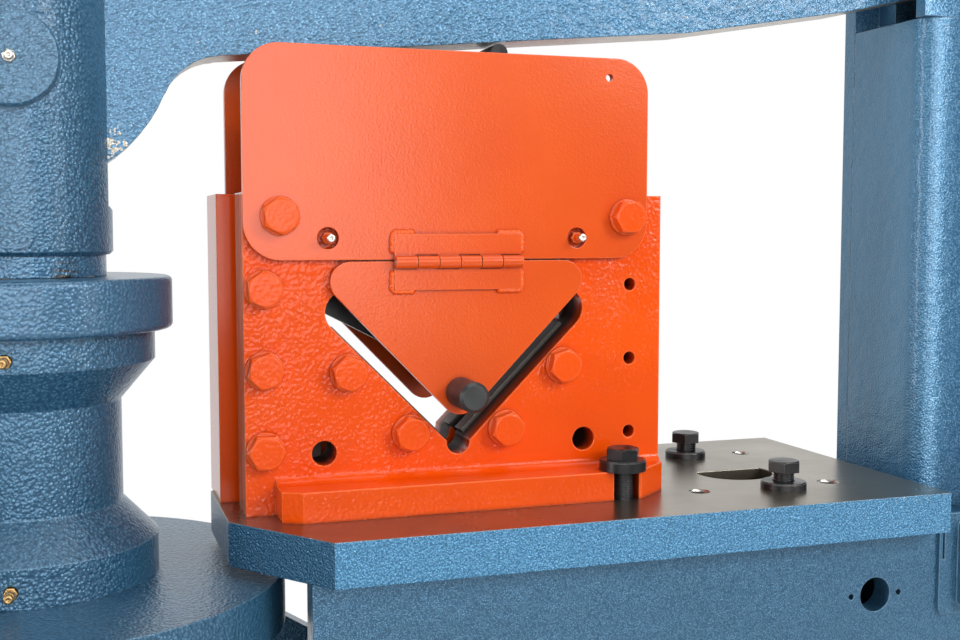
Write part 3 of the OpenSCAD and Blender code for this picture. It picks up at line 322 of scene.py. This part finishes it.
def hammer_colour(tree, where, grain, painted_light):
    """Blue hammered paint with domes of grain metres and broad cloudiness; gives colour and height."""
    domes = math_node(tree, "SUBTRACT", 0.6, cells(tree, where, 1.0 / grain, 0.5))
    fine = noise(tree, where, 1.5 / grain, 3.0, 0.7)
    colour = ramp(tree, blended(tree, domes, fine, 0.55),
                  [(0.25, HAMMER_DARK), (0.39, HAMMER_BLUE), (0.52, HAMMER_PALE)])
    colour = mix_colour(tree, times(tree, facing(tree, "X", 0.6, 0.98), 0.8), colour, SIDE_BLUE)
    # Broad cloudiness times the lightness factor, which is painted light and shade for each part.
    shade = grey_ramp(tree, noise(tree, where, 9.0), 0.95 * painted_light, 1.05 * painted_light)
    return mix_colour(tree, 1.0, colour, shade, "MULTIPLY"), domes


def hammer_paint(name, grain, wave, painted_light, front=None, bare=None, grease=None, calm=None):
    """Blue hammered paint with domes of grain metres on waves of wave metres.

    tone is a factor on its lightness, painted light and shade that makes each part's copy of the paint
    lighter or darker.
    front, if any, is a colour that multiplies the front and back faces, painting light on them.
    bare, grease and calm, if any, are functions that give masks of buff metal, grease and smooth paint.
    """
    material, tree, shader = new_material(name)
    where = object_coordinates(tree)
    colour, height = hammer_colour(tree, where, grain, painted_light)
    normal = rounded_normal(tree, 1.6 * MM)
    # Painted highlight: edges made lighter blue.
    colour = mix_colour(tree, edge_mask(tree, normal), colour, EDGE_HIGHLIGHT_BLUE)
    # Painted light: front and back faces made lighter by the front colour.
    if front:
        lighter = mix_colour(tree, 1.0, colour, front, "MULTIPLY")
        colour = mix_colour(tree, facing(tree, "Y", 0.7, 0.95), colour, lighter)
    if bare:
        buff = ramp(tree, noise(tree, where, 70.0, 4.0, 0.6), [(0.3, BUFF_DARK), (0.7, BUFF_PALE)])
        colour = mix_colour(tree, bare(tree, where), colour, buff)
    if grease:
        colour = mix_colour(tree, grease(tree, where), colour, GREASE)
    swell = noise(tree, where, 1.0 / wave, 1.0)
    if calm:
        smooth = times(tree, calm(tree, where), 0.35)
        swell = times(tree, swell, rest_of(tree, smooth))
        height = times(tree, height, rest_of(tree, smooth))
        colour = mix_colour(tree, smooth, colour, FLANGE_BLUE)
    tree.links.new(colour, shader.inputs["Base Color"])
    waves = bump(tree, swell, 0.4, 0.25 * wave, normal)
    tree.links.new(bump(tree, height, 0.7, 0.5 * grain, waves), shader.inputs["Normal"])
    tree.links.new(waves, shader.inputs["Coat Normal"])
    shader.inputs["Roughness"].default_value = 0.30
    shader.inputs["Metallic"].default_value = 0.30
    shader.inputs["Coat Weight"].default_value = 0.25
    shader.inputs["Coat Roughness"].default_value = 0.15
    return material


def bare_underside(tree, where):
    """The beam's underside, and chips of paint on the lobe beside the ram."""
    under = below(tree, normal_part(tree, "Z"), -0.85)
    near = near_place(tree, where, (RAM_X + 0.066, -0.020, TABLE_Z + 0.270), 16.0 * MM)
    chips = plus(tree, noise(tree, where, 190.0, 3.0, 0.6), times(tree, near, 0.24))
    return larger(tree, under, scaled(tree, chips, 0.70, 0.73))


def bare_shaft(tree, where):
    """The shaft below its painted neck, and scraped places at the neck's foot."""
    ragged = times(tree, noise(tree, where, 55.0), 5.8 * MM)
    return below(tree, place_part(tree, where, "Z"), plus(tree, NECK_FOOT - 2.7 * MM, ragged))


def neck_grease(tree, where):
    """A smear of grease at the neck's foot."""
    near = near_place(tree, where, (RAM_X + 0.032, -0.050, NECK_FOOT + 2.5 * MM), 14.0 * MM)
    return times(tree, near, scaled(tree, streaks(tree, where, (60.0, 60.0, 500.0)), 0.42, 0.58))


def flange_rim(tree, where):
    """The rim of the hub's flange, which is turned before it is painted."""
    height = place_part(tree, where, "Z")
    return times(tree, scaled(tree, height, FLANGE_LOW - 2.0 * MM, FLANGE_LOW + 1.0 * MM),
                 scaled(tree, height, NECK_FOOT + 4.0 * MM, NECK_FOOT))


def table_material():
    """Bare ground steel on the table's top and in its holes, hammered paint on its sides."""
    material, tree, shader = new_material("table_top_and_paint")
    where = object_coordinates(tree)
    across = place_part(tree, where, "X")
    normal = rounded_normal(tree, 1.2 * MM)

    # The table's paint made 1.55 times as light: painted light.
    blue, height = hammer_colour(tree, where, 1.5 * MM, 1.55)
    # Painted shade: faces that turn left darkened.
    left = scaled(tree, normal_part(tree, "X"), -0.3, -0.6)
    blue = mix_colour(tree, times(tree, left, 0.7), blue, CHAMFER_SHADE_BLUE)
    # Top edges lighter blue: wear and painted highlight.
    top_edge = scaled(tree, place_part(tree, where, "Z"), TABLE_Z - 5.0 * MM, TABLE_Z - 1.0 * MM)
    blue = mix_colour(tree, times(tree, edge_mask(tree, normal), top_edge), blue, WORN_AND_HIGHLIGHT_BLUE)
    right = scaled(tree, across, TABLE_RIGHT - 0.10, TABLE_RIGHT - 0.03)
    chips = scaled(tree, noise(tree, where, 210.0, 2.0, 0.6), 0.60, 0.64)
    blue = mix_colour(tree, times(tree, chips, right, top_edge), blue, CHIPPED)

    lines = streaks(tree, where, (40.0, 900.0, 1.0))
    stains = noise(tree, where, 13.0, 4.0, 0.55)
    steel = ramp(tree, blended(tree, lines, stains, 0.6),
                 [(0.35, TABLE_STEEL_DARK), (0.65, TABLE_STEEL_PALE)])

    aside = unsigned(tree, place_part(tree, where, "Y"))
    in_holes = times(tree, above(tree, across, TABLE_HOLES_LEFT),
                     below(tree, across, TABLE_RIGHT - TABLE_RIM),
                     below(tree, aside, TABLE_HALF - TABLE_RIM))
    bare = larger(tree, above(tree, normal_part(tree, "Z"), 0.9), in_holes)
    tree.links.new(mix_colour(tree, bare, blue, steel), shader.inputs["Base Color"])
    tree.links.new(plus(tree, 0.30, times(tree, bare, 0.65)), shader.inputs["Metallic"])
    tree.links.new(grey_ramp(tree, stains, 0.31, 0.26), shader.inputs["Roughness"])
    painted = times(tree, height, rest_of(tree, bare))
    tree.links.new(bump(tree, painted, 1.0, 1.2 * MM, normal), shader.inputs["Normal"])
    return material


# Orange gloss paint


def orange_paint(name, coarse, strength, edge, cast=False, dark=None, red=1.0, corner_shade_share=0.8, gloss=0.45):
    """Orange gloss paint with bumps of coarse metres; cast paint is rough as rough_casting says.

    dark, if any, is a function that gives the mask of painted shade deep in hollows and holes.
    red is a factor on the red, which paints shade into the whole paint where it is below 1;
    crease says how much painted shade and dirt darken corners, and gloss how much the paint shines.
    """
    material, tree, shader = new_material(name)
    where = object_coordinates(tree)
    # A red factor below 1 darkens the whole paint: painted shade.
    deep, clear = [(red * colour[0], *colour[1:]) for colour in (ORANGE_DEEP, ORANGE_CLEAR)]
    colour = ramp(tree, noise(tree, where, 14.0), [(0.3, deep), (0.7, clear)])
    normal = rounded_normal(tree, edge)
    # Painted highlight: edges made lighter orange.
    colour = mix_colour(tree, edge_mask(tree, normal), colour, ORANGE_EDGE_HIGHLIGHT)
    # Painted shade and dirt: corners and narrow gaps darkened.
    colour = mix_colour(tree, times(tree, corner_shade_and_dirt(tree, 5.0 * MM), corner_shade_share), colour, ORANGE_CORNER_SHADE_AND_DIRT)
    bumps = blended(tree, cells(tree, where, 1.0 / coarse, 0.8),
                    noise(tree, where, 0.6 / coarse, 3.0, 0.6), 0.5)
    shader.inputs["Roughness"].default_value = 0.20
    shader.inputs["Specular IOR Level"].default_value = gloss
    # Painted shade: hollows, hole walls and hidden faces darkened.
    if dark:
        mask = dark(tree, where)
        colour = mix_colour(tree, mask, colour, HOLLOW_SHADE)
        tree.links.new(plus(tree, 0.14, times(tree, mask, 0.41)), shader.inputs["Roughness"])
    if cast:
        scratches = streaks(tree, where, (1.0, 900.0, 20.0))
        rubbed = ramp(tree, scratches, [(0.35, SCRAPED_DARK), (0.6, SCRAPED_PALE)])
        colour = mix_colour(tree, scraped_side(tree, where), colour, rubbed)
        bumps = times(tree, bumps, rough_casting(tree, where))
    tree.links.new(colour, shader.inputs["Base Color"])
    tree.links.new(bump(tree, bumps, strength, 1.5 * MM, normal), shader.inputs["Normal"])
    return material


def rough_casting(tree, where):
    """Where the plates' casting is rough under the paint: outer faces, most of all high and to the left."""
    left = scaled(tree, place_part(tree, where, "X"), SHEAR_X + 0.34, SHEAR_X + 0.02)
    high = scaled(tree, place_part(tree, where, "Z"), TABLE_Z + 0.02, TABLE_Z + 0.17)
    patches = scaled(tree, noise(tree, where, 24.0), 0.30, 0.62)
    rough = times(tree, plus(tree, left, high), 0.5, plus(tree, 0.35, patches))
    outer = scaled(tree, unsigned(tree, place_part(tree, where, "Y")), 0.020, 0.040)
    return times(tree, plus(tree, 0.12, rough), facing(tree, "Y", 0.5, 0.8), outer)


def scraped_side(tree, where):
    """The left side of the front plate, which is rubbed bare in upright scratches."""
    across = place_part(tree, where, "X")
    side = times(tree, below(tree, normal_part(tree, "X"), -0.9), above(tree, across, SHEAR_X - 2.0 * MM),
                 below(tree, across, SHEAR_X + 2.0 * MM))
    return times(tree, side, scaled(tree, streaks(tree, where, (1.0, 420.0, 14.0)), 0.34, 0.52))


def shaded_hole_walls(tree, where):
    """How deep a wall of the V opening or of a hole lies in its plate, for painted shade that darkens it
    with depth.
    """
    mask = facing(tree, "Y", 0.8, 0.5)
    edges = (("X", SHEAR_X, MM), ("X", SHEAR_X + SHEAR_W, -MM), ("Z", TABLE_Z + SHEAR_H, -MM))
    for axis, edge, inwards in edges:
        inside = scaled(tree, place_part(tree, where, axis), edge + 2.0 * inwards, edge + 5.0 * inwards)
        mask = times(tree, mask, inside)
    return times(tree, mask, scaled(tree, unsigned(tree, place_part(tree, where, "Y")), 0.045, 0.028))


def shaded_covered_faces(tree, where):
    """Faces that lie on the plates, darkened with painted shade where they show deep in the holes."""
    return facing(tree, "Y", 0.5, 0.8)


# Bare metals and dark finishes


def bare_steel(name, dark, light, rough):
    """Ground metal with fine lines along Y."""
    material, tree, shader = new_material(name)
    where = object_coordinates(tree)
    lines = streaks(tree, where, (900.0, 60.0, 900.0))
    stains = noise(tree, where, 22.0, 4.0, 0.6)
    colour = ramp(tree, blended(tree, lines, stains, 0.65), [(0.35, dark), (0.65, light)])
    tree.links.new(colour, shader.inputs["Base Color"])
    tree.links.new(grey_ramp(tree, stains, rough + 0.07, rough - 0.05), shader.inputs["Roughness"])
    normal = rounded_normal(tree, 0.7 * MM)
    tree.links.new(bump(tree, lines, 0.12, 0.1 * MM, normal), shader.inputs["Normal"])
    shader.inputs["Metallic"].default_value = 1.0
    return material


def smooth_finish(name, base, rough, metallic, worn):
    """Smooth, even stuff; worn is its colour where edges are rubbed."""
    material, tree, shader = new_material(name)
    where = object_coordinates(tree)
    broad = noise(tree, where, 60.0, 3.0)
    colour = ramp(tree, broad, [(0.3, tuple(c * 0.75 for c in base)), (0.7, tuple(c * 1.3 for c in base))])
    normal = rounded_normal(tree, 0.7 * MM)
    rubbed = times(tree, edge_mask(tree, normal), scaled(tree, broad, 0.35, 0.6))
    tree.links.new(mix_colour(tree, rubbed, colour, worn), shader.inputs["Base Color"])
    fine = noise(tree, where, 600.0, 3.0)
    tree.links.new(bump(tree, fine, 0.15, 0.15 * MM, normal), shader.inputs["Normal"])
    tree.links.new(grey_ramp(tree, broad, rough - 0.08, rough + 0.08), shader.inputs["Roughness"])
    shader.inputs["Metallic"].default_value = metallic
    return material


# Materials of the pieces

# The fourth number makes each part's copy of the blue paint lighter or darker: painted light and shade.
PAINT = hammer_paint("blue_hammer_paint", 1.3 * MM, 12.0 * MM, 0.83)
# The tower's front colour paints light on its front and back faces.
TOWER = hammer_paint("tower_paint", 1.6 * MM, 12.0 * MM, 1.15, front=(2.4, 1.75, 1.6))
CASTING = hammer_paint("blue_casting_paint", 2.2 * MM, 5.0 * MM, 0.80, calm=flange_rim)
BEAM = hammer_paint("beam_paint", 2.0 * MM, 8.0 * MM, 1.1, bare=bare_underside)
SHAFT = hammer_paint("shaft_neck_paint", 2.2 * MM, 5.0 * MM, 1.0, bare=bare_shaft, grease=neck_grease)
# Painted shade deep in the V opening and holes, and on the spacers' faces seen through them.
CAST = orange_paint("orange_cast_paint", 3.0 * MM, 1.0, 2.0 * MM, cast=True, dark=shaded_hole_walls, gloss=0.26)
SPACER = orange_paint("orange_spacer_paint", 3.0 * MM, 0.08, 1.0 * MM, dark=shaded_covered_faces)
# The sheet paint's red is lowered: painted shade.
SHEET = orange_paint("orange_sheet_paint", 1.6 * MM, 0.10, 1.0 * MM, red=0.87)
# The bolts get less painted shade and dirt in their corners.
BOLT = orange_paint("orange_bolt_paint", 3.0 * MM, 0.35, 1.8 * MM, corner_shade_share=0.5, gloss=0.26)
STEEL = bare_steel("ground_steel", (0.40, 0.38, 0.35), (0.60, 0.58, 0.55), 0.30)
BLADE = bare_steel("blade_steel", (0.06, 0.055, 0.05), (0.14, 0.13, 0.12), 0.36)
TABLE = table_material()
OXIDE = smooth_finish("black_oxide", (0.022, 0.022, 0.024), 0.33, 0.6, (0.16, 0.15, 0.14))
KNOB = smooth_finish("black_knob", (0.016, 0.017, 0.018), 0.45, 0.0, (0.03, 0.03, 0.03))
BRONZE = bare_steel("bronze", (0.38, 0.24, 0.10), (0.56, 0.38, 0.18), 0.30)
ZINC = bare_steel("plated_nipple", (0.52, 0.49, 0.42), (0.74, 0.71, 0.62), 0.28)
URETHANE = smooth_finish("red_urethane", (0.30, 0.030, 0.020), 0.45, 0.0, (0.34, 0.05, 0.04))
GREEN = smooth_finish("green_button", (0.03, 0.26, 0.07), 0.30, 0.0, (0.05, 0.30, 0.10))
RED = smooth_finish("red_button", (0.50, 0.02, 0.015), 0.30, 0.0, (0.55, 0.05, 0.04))

BY_SLOT = {
    "blue_hammer_paint": PAINT, "orange_paint": SHEET, "machined_steel": STEEL, "black_oxide_steel": OXIDE,
    "black_knob": KNOB, "bronze": BRONZE, "zinc_nipples": ZINC, "red_urethane": URETHANE,
    "green_button": GREEN, "red_button": RED,
}
BY_NODE = {
    "shear_front_plate": CAST, "shear_back_plate": CAST, "shear_spacers": SPACER,
    "blade_bolts": BOLT, "plate_bolts": BOLT, "guard_bolts": BOLT, "shear_grease_nipples": BOLT,
    "ram": CASTING, "pin_caps": CASTING,
    "turret_hub": CASTING, "upper_disc": CASTING, "lower_disc": CASTING,
    "tower_nose": TOWER, "beam_guides": TOWER, "rocker_beam": BEAM, "turret_shaft": SHAFT,
    "tool_table": TABLE, "fixed_blades": BLADE, "hub_grease_nipples": BRONZE,
}

for part in frame["record"]["subparts"]:
    node = cad[part["node"]]
    material = BY_NODE.get(part["node"]) or BY_SLOT[part["material_slot"]]
    node.data.materials.clear()
    node.data.materials.append(material)


# Small pieces that the solids leave plain


def finish_piece(shape, name, body, material):
    """Makes the bmesh a smooth, outward piece that rides on a body."""
    bmesh.ops.remove_doubles(shape, verts=shape.verts[:], dist=0.01 * MM)
    bmesh.ops.recalc_face_normals(shape, faces=shape.faces[:])
    mesh = bpy.data.meshes.new(name)
    shape.to_mesh(mesh)
    shape.free()
    mesh.shade_smooth()
    mesh.materials.append(material)
    piece = bpy.data.objects.new(name, mesh)
    bpy.context.scene.collection.objects.link(piece)
    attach(piece, body)


def turned(shape, profile, place, axis, segments):
    """Adds a piece turned about axis at place; profile is its (radius, height) points in millimetres."""
    place, axis = Vector(place), Vector(axis)
    side = axis.orthogonal().normalized()
    points = [shape.verts.new(place + (side * radius + axis * height) * MM) for radius, height in profile]
    edges = [shape.edges.new(pair) for pair in zip(points, points[1:])]
    bmesh.ops.spin(shape, geom=points + edges, cent=place, axis=axis, angle=2.0 * math.pi, steps=segments,
                   use_merge=True)


def thread(shape, place, low, high, inner, outer):
    """Adds a screw thread round an upright axis through place; inner is sunk in the shank or bore wall."""
    pitch = 2.0 * MM
    steps = 20
    turns = (high - low) / pitch
    x, y = place
    profile = ((inner, -0.42), (outer, 0.0), (inner, 0.42))
    corners = [shape.verts.new((x + radius, y, low + rise * pitch)) for radius, rise in profile]
    face = shape.faces.new(corners)
    bmesh.ops.spin(shape, geom=[face] + list(face.edges) + corners, cent=(x, y, 0.0), axis=UP,
                   dvec=(0.0, 0.0, pitch / steps), angle=2.0 * math.pi * turns, steps=int(steps * turns))


def weld(shape, start, end, width, height, face):
    """Adds a run of weld ripples from start to end; face is the direction that the weld stands out in."""
    start, end, face = Vector(start), Vector(end), Vector(face).normalized()
    along = (end - start).normalized()
    across = face.cross(along)
    spacing = width * 0.30
    count = max(2, round((end - start).length / spacing))
    turn = Matrix((along, across, face)).transposed().to_4x4()
    ripple = bmesh.new()
    bmesh.ops.create_uvsphere(ripple, u_segments=8, v_segments=5, radius=1.0)
    for i in range(count):
        sway = 1.0 + 0.09 * math.sin(i * 2.4) + 0.05 * math.sin(i * 5.1)
        size = Matrix.Diagonal((width * 0.46, width * 0.5 * sway, height * sway, 1.0))
        middle = start.lerp(end, (i + 0.5) / count) + across * (0.05 * width * math.sin(i * 1.7))
        place = Matrix.Translation(middle) @ turn @ size
        corners = {corner: shape.verts.new(place @ corner.co) for corner in ripple.verts}
        for side in ripple.faces:
            shape.faces.new([corners[corner] for corner in side.verts])
    ripple.free()


def bolt_threads():
    """Threads on the shanks that show under the heads of the hold-down bolts."""
    root = 7.6 * MM
    crest = 8.5 * MM
    shape = bmesh.new()
    for y in (CLAMP_Y, -CLAMP_Y):
        thread(shape, (CLAMP_X, y), TABLE_Z + 1.0 * MM, TABLE_Z + 22.5 * MM, root, crest)
    for place in TOOL_BOLTS:
        thread(shape, place, TABLE_Z + 4.0 * MM, TABLE_Z + 14.5 * MM, root, crest)
    finish_piece(shape, "hold_down_threads", "frame", OXIDE)


def tapped_holes():
    """Bright countersunk cones and threads in the four tapped holes of the tool place."""
    cone = [(8.48, -4.4), (6.2, -4.0), (8.40, -0.1)]
    shape = bmesh.new()
    for x in (TOOL_X - TAP_X, TOOL_X + TAP_X):
        for y in (-TAP_Y, TAP_Y):
            turned(shape, cone, (x, y, TABLE_Z), UP, 32)
            thread(shape, (x, y), TABLE_Z - 13.5 * MM, TABLE_Z - 5.5 * MM, 8.6 * MM, 7.0 * MM)
    finish_piece(shape, "tapped_hole_threads", "frame", STEEL)


def nipple_tip(shape, place, axis):
    """Adds the neck and the ball of a grease nipple at place."""
    neck = [(0.0, -0.5), (2.1, -0.5), (2.0, 1.0)]
    ball = [(3.1, 2.2), (3.3, 3.4), (3.0, 4.6), (2.4, 5.1)]
    mouth = [(1.1, 5.2), (0.8, 4.0), (0.0, 4.0)]
    turned(shape, neck + ball + mouth, place, axis, 20)


def shear_nipple_tips():
    shape = bmesh.new()
    for x in SHEAR_NIPPLE_X:
        for side in (-1.0, 1.0):
            nipple_tip(shape, (x, side * -SHEAR_NIPPLE_Y, SHEAR_NIPPLE_Z), (0.0, side, 0.0))
    finish_piece(shape, "shear_nipple_tips", "frame", ZINC)


def hub_nipple_tips():
    shape = bmesh.new()
    out = Vector((math.sin(HUB_NIPPLE_TURN), -math.cos(HUB_NIPPLE_TURN), 0.0))
    for rise in HUB_NIPPLE_RISES:
        nipple_tip(shape, Vector((RAM_X, 0.0, TABLE_Z + rise)) + out * HUB_NIPPLE_OUT, out)
    finish_piece(shape, "hub_nipple_tips", "upper_turret", BRONZE)


def pin_nipples():
    """Grease nipples with their hexagons in the caps of the ram pin."""
    hexagon_h = 3.4
    hexagon = [(0.0, -1.0), (4.6, -1.0), (4.6, 2.6), (3.8, 3.2), (2.4, hexagon_h), (0.0, hexagon_h)]
    shape = bmesh.new()
    for side in (-1.0, 1.0):
        place = Vector((RAM_X, side * PIN_CAP_OUT, PIN_Z))
        axis = Vector((0.0, side, 0.0))
        turned(shape, hexagon, place, axis, 6)
        nipple_tip(shape, place + axis * hexagon_h * MM, axis)
    finish_piece(shape, "pin_nipples", "ram", ZINC)


def hinge_welds(place, side, flap_body):
    """Weld runs that hold the two leaves of a hinge; side is -1 in front and 1 at the back."""
    height = 3.0 * MM
    out = 0.8 * MM
    y = side * -GUARD_FACE
    face = (0.0, side, 0.0)
    left, right = HINGE_X, HINGE_X + HINGE_LENGTH
    for up, body, leaf in ((1.0, "frame", "guard"), (-1.0, flap_body, "flap")):
        shape = bmesh.new()
        near = HINGE_Z + up * (LEAF_NEAR + 2.0 * MM)
        far = HINGE_Z + up * LEAF_FAR
        for x in (left - out, right + out):
            weld(shape, (x, y, near), (x, y, far), 5.6 * MM, height, face)
        beyond = far + up * out
        for x, length in ((left, 15.0 * MM), (right, -18.0 * MM)):
            weld(shape, (x, y, beyond), (x + length, y, beyond), 5.2 * MM, height, face)
        finish_piece(shape, f"{place}_{leaf}_leaf_welds", body, BOLT)


def frame_welds():
    """Weld runs between the side plates and the floor rails, and round the oil tank."""
    width = 10.0 * MM
    shape = bmesh.new()
    low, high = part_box("front_side_plate")
    toe_end = low[0] + 0.19
    plate_end = high[0] - 0.01
    for side in (-1.0, 1.0):
        y = side * -low[1]
        weld(shape, (toe_end, y, low[2]), (plate_end, y, low[2]), width, 2.6 * MM, (0.0, side, 0.0))
    low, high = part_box("oil_tank")
    corner = 16.0 * MM
    height = 4.5 * MM
    y = low[1]
    for x, out in ((low[0], -1.0), (high[0], 1.0)):
        weld(shape, (x, y, low[2] + corner), (x, y, high[2] - corner), width, height, (out, 1.0, 0.0))
    for z, out in ((low[2], -1.0), (high[2], 1.0)):
        weld(shape, (low[0] + corner, y, z), (high[0] - corner, y, z), width, height, (0.0, 1.0, out))
    finish_piece(shape, "frame_welds", "frame", PAINT)


def cover_screws():
    """Domed socket screws that hold the tower's cover on the edges of the side plates."""
    dome = [(0.0, -0.5), (6.0, -0.5), (6.0, 0.8), (5.2, 2.2), (3.6, 3.1)]
    socket = [(2.5, 3.3), (2.5, 1.2), (0.0, 1.2)]
    head = dome + socket
    inset = 10.0 * MM
    shape = bmesh.new()
    low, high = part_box("tower_cover")
    length, _, rise = high - low
    for y in (low[1] + inset, high[1] - inset):
        for share in (0.06, 0.50, 0.94):
            turned(shape, head, (high[0], y, low[2] + share * rise), (1.0, 0.0, 0.0), 24)
            turned(shape, head, (low[0] + share * length, y, high[2]), UP, 24)
    finish_piece(shape, "cover_screws", "frame", OXIDE)


bolt_threads()
tapped_holes()
shear_nipple_tips()
hub_nipple_tips()
pin_nipples()
hinge_welds("front", -1.0, "front_flap")
hinge_welds("back", 1.0, "back_flap")
frame_welds()
cover_screws()


# Stage, light and camera


def seen_ray(tree):
    """1 for rays that show the backdrop: from the camera, in gloss and through glass."""
    path = tree.nodes.new("ShaderNodeLightPath")
    gloss = larger(tree, path.outputs["Is Glossy Ray"], path.outputs["Is Transmission Ray"])
    return larger(tree, path.outputs["Is Camera Ray"], gloss)


def camera_ray(tree):
    return tree.nodes.new("ShaderNodeLightPath").outputs["Is Camera Ray"]


def floor():
    """Pale floor with the machine's shadow on it; far from the machine it fades into the white backdrop."""
    mesh = bpy.data.meshes.new("floor")
    shape = bmesh.new()
    bmesh.ops.create_grid(shape, x_segments=1, y_segments=1, size=12.0)
    shape.to_mesh(mesh)
    shape.free()
    piece = bpy.data.objects.new("floor", mesh)
    bpy.context.scene.collection.objects.link(piece)
    material, tree, shader = new_material("studio_floor")
    shader.inputs["Base Color"].default_value = (0.80, 0.80, 0.80, 1.0)
    shader.inputs["Roughness"].default_value = 0.9
    where = object_coordinates(tree)
    distance = tree.nodes.new("ShaderNodeVectorMath")
    distance.operation = "LENGTH"
    tree.links.new(where, distance.inputs[0])
    far = scaled(tree, distance.outputs["Value"], 1.3, 2.2)
    behind = scaled(tree, place_part(tree, where, "Y"), -0.2, 0.6)
    fade = times(tree, far, larger(tree, camera_ray(tree), behind), seen_ray(tree))
    white = add(tree, "ShaderNodeEmission", Strength=1.0)
    both = tree.nodes.new("ShaderNodeMixShader")
    tree.links.new(fade, both.inputs["Fac"])
    tree.links.new(shader.outputs["BSDF"], both.inputs[1])
    tree.links.new(white.outputs["Emission"], both.inputs[2])
    tree.links.new(both.outputs["Shader"], tree.nodes["Material Output"].inputs["Surface"])
    mesh.materials.append(material)


def area_light(name, place, target, size, watts, diffuse=True, glossy=True):
    """A soft box; one that isn't diffuse shows only in gloss, one that isn't glossy doesn't show there."""
    light = bpy.data.lights.new(name, "AREA")
    light.shape = "RECTANGLE"
    light.size, light.size_y = size
    light.energy = watts
    lamp = bpy.data.objects.new(name, light)
    lamp.location = place
    lamp.rotation_euler = (Vector(target) - Vector(place)).to_track_quat("-Z", "Y").to_euler()
    lamp.visible_diffuse = diffuse
    lamp.visible_glossy = glossy
    bpy.context.scene.collection.objects.link(lamp)


def world():
    """White behind the machine and for the camera; the side that the lamps stand on is dim."""
    sky = bpy.data.worlds.new("studio")
    bpy.context.scene.world = sky
    sky.use_nodes = True
    tree = sky.node_tree
    background = tree.nodes["Background"]
    background.inputs["Color"].default_value = (1.0, 1.0, 1.0, 1.0)
    away = place_part(tree, tree.nodes.new("ShaderNodeTexCoord").outputs["Generated"], "Y")
    soft = add(tree, "ShaderNodeMapRange", From_Min=-0.5, From_Max=0.7, To_Min=0.14, To_Max=0.85)
    backdrop = add(tree, "ShaderNodeMapRange", From_Min=-0.6, From_Max=0.0, To_Min=0.20, To_Max=1.0)
    for level in (soft, backdrop):
        tree.links.new(away, level.inputs["Value"])
    shown = larger(tree, times(tree, seen_ray(tree), backdrop.outputs["Result"]), camera_ray(tree))
    tree.links.new(larger(tree, shown, soft.outputs["Result"]), background.inputs["Strength"])


def camera():
    """The photograph's camera, found from edges of the shear and of the table."""
    eye = bpy.data.cameras.new("photo_camera")
    eye.sensor_width = 36.0
    eye.lens = 46.21
    eye.clip_start = 0.02
    holder = bpy.data.objects.new("photo_camera", eye)
    holder.location = (-0.58588, -0.93849, 1.14831)
    holder.rotation_euler = (math.radians(90.0 - 4.139), 0.0, math.radians(-18.581))
    bpy.context.scene.collection.objects.link(holder)
    bpy.context.scene.camera = holder


floor()
world()
area_light("front_left", (-1.10, -3.0, 1.50), (-1.10, 0.0, 1.50), (3.1, 1.3), 60.0, diffuse=False)
area_light("front_fill", (-0.80, -3.0, 1.50), (-0.30, 0.0, 1.10), (1.6, 1.3), 21.0, glossy=False)
area_light("key_high", (1.30, -2.2, 2.20), (-0.30, 0.0, 1.05), (0.9, 0.9), 34.0)
area_light("front_high", (0.50, -2.9, 2.60), (-0.20, 0.0, 1.20), (3.0, 1.1), 28.0)
area_light("key_right", (1.40, -1.61, 1.25), (0.0, 0.0, 1.10), (0.7, 0.9), 6.0)
area_light("left", (-3.0, -0.5, 1.5), (0.0, -0.1, 1.15), (0.3, 1.8), 29.0)
area_light("top", (-0.2, -0.4, 3.4), (-0.2, 0.0, 1.0), (2.2, 1.4), 22.0)
camera()
bpy.context.scene.view_settings.view_transform = "Standard"
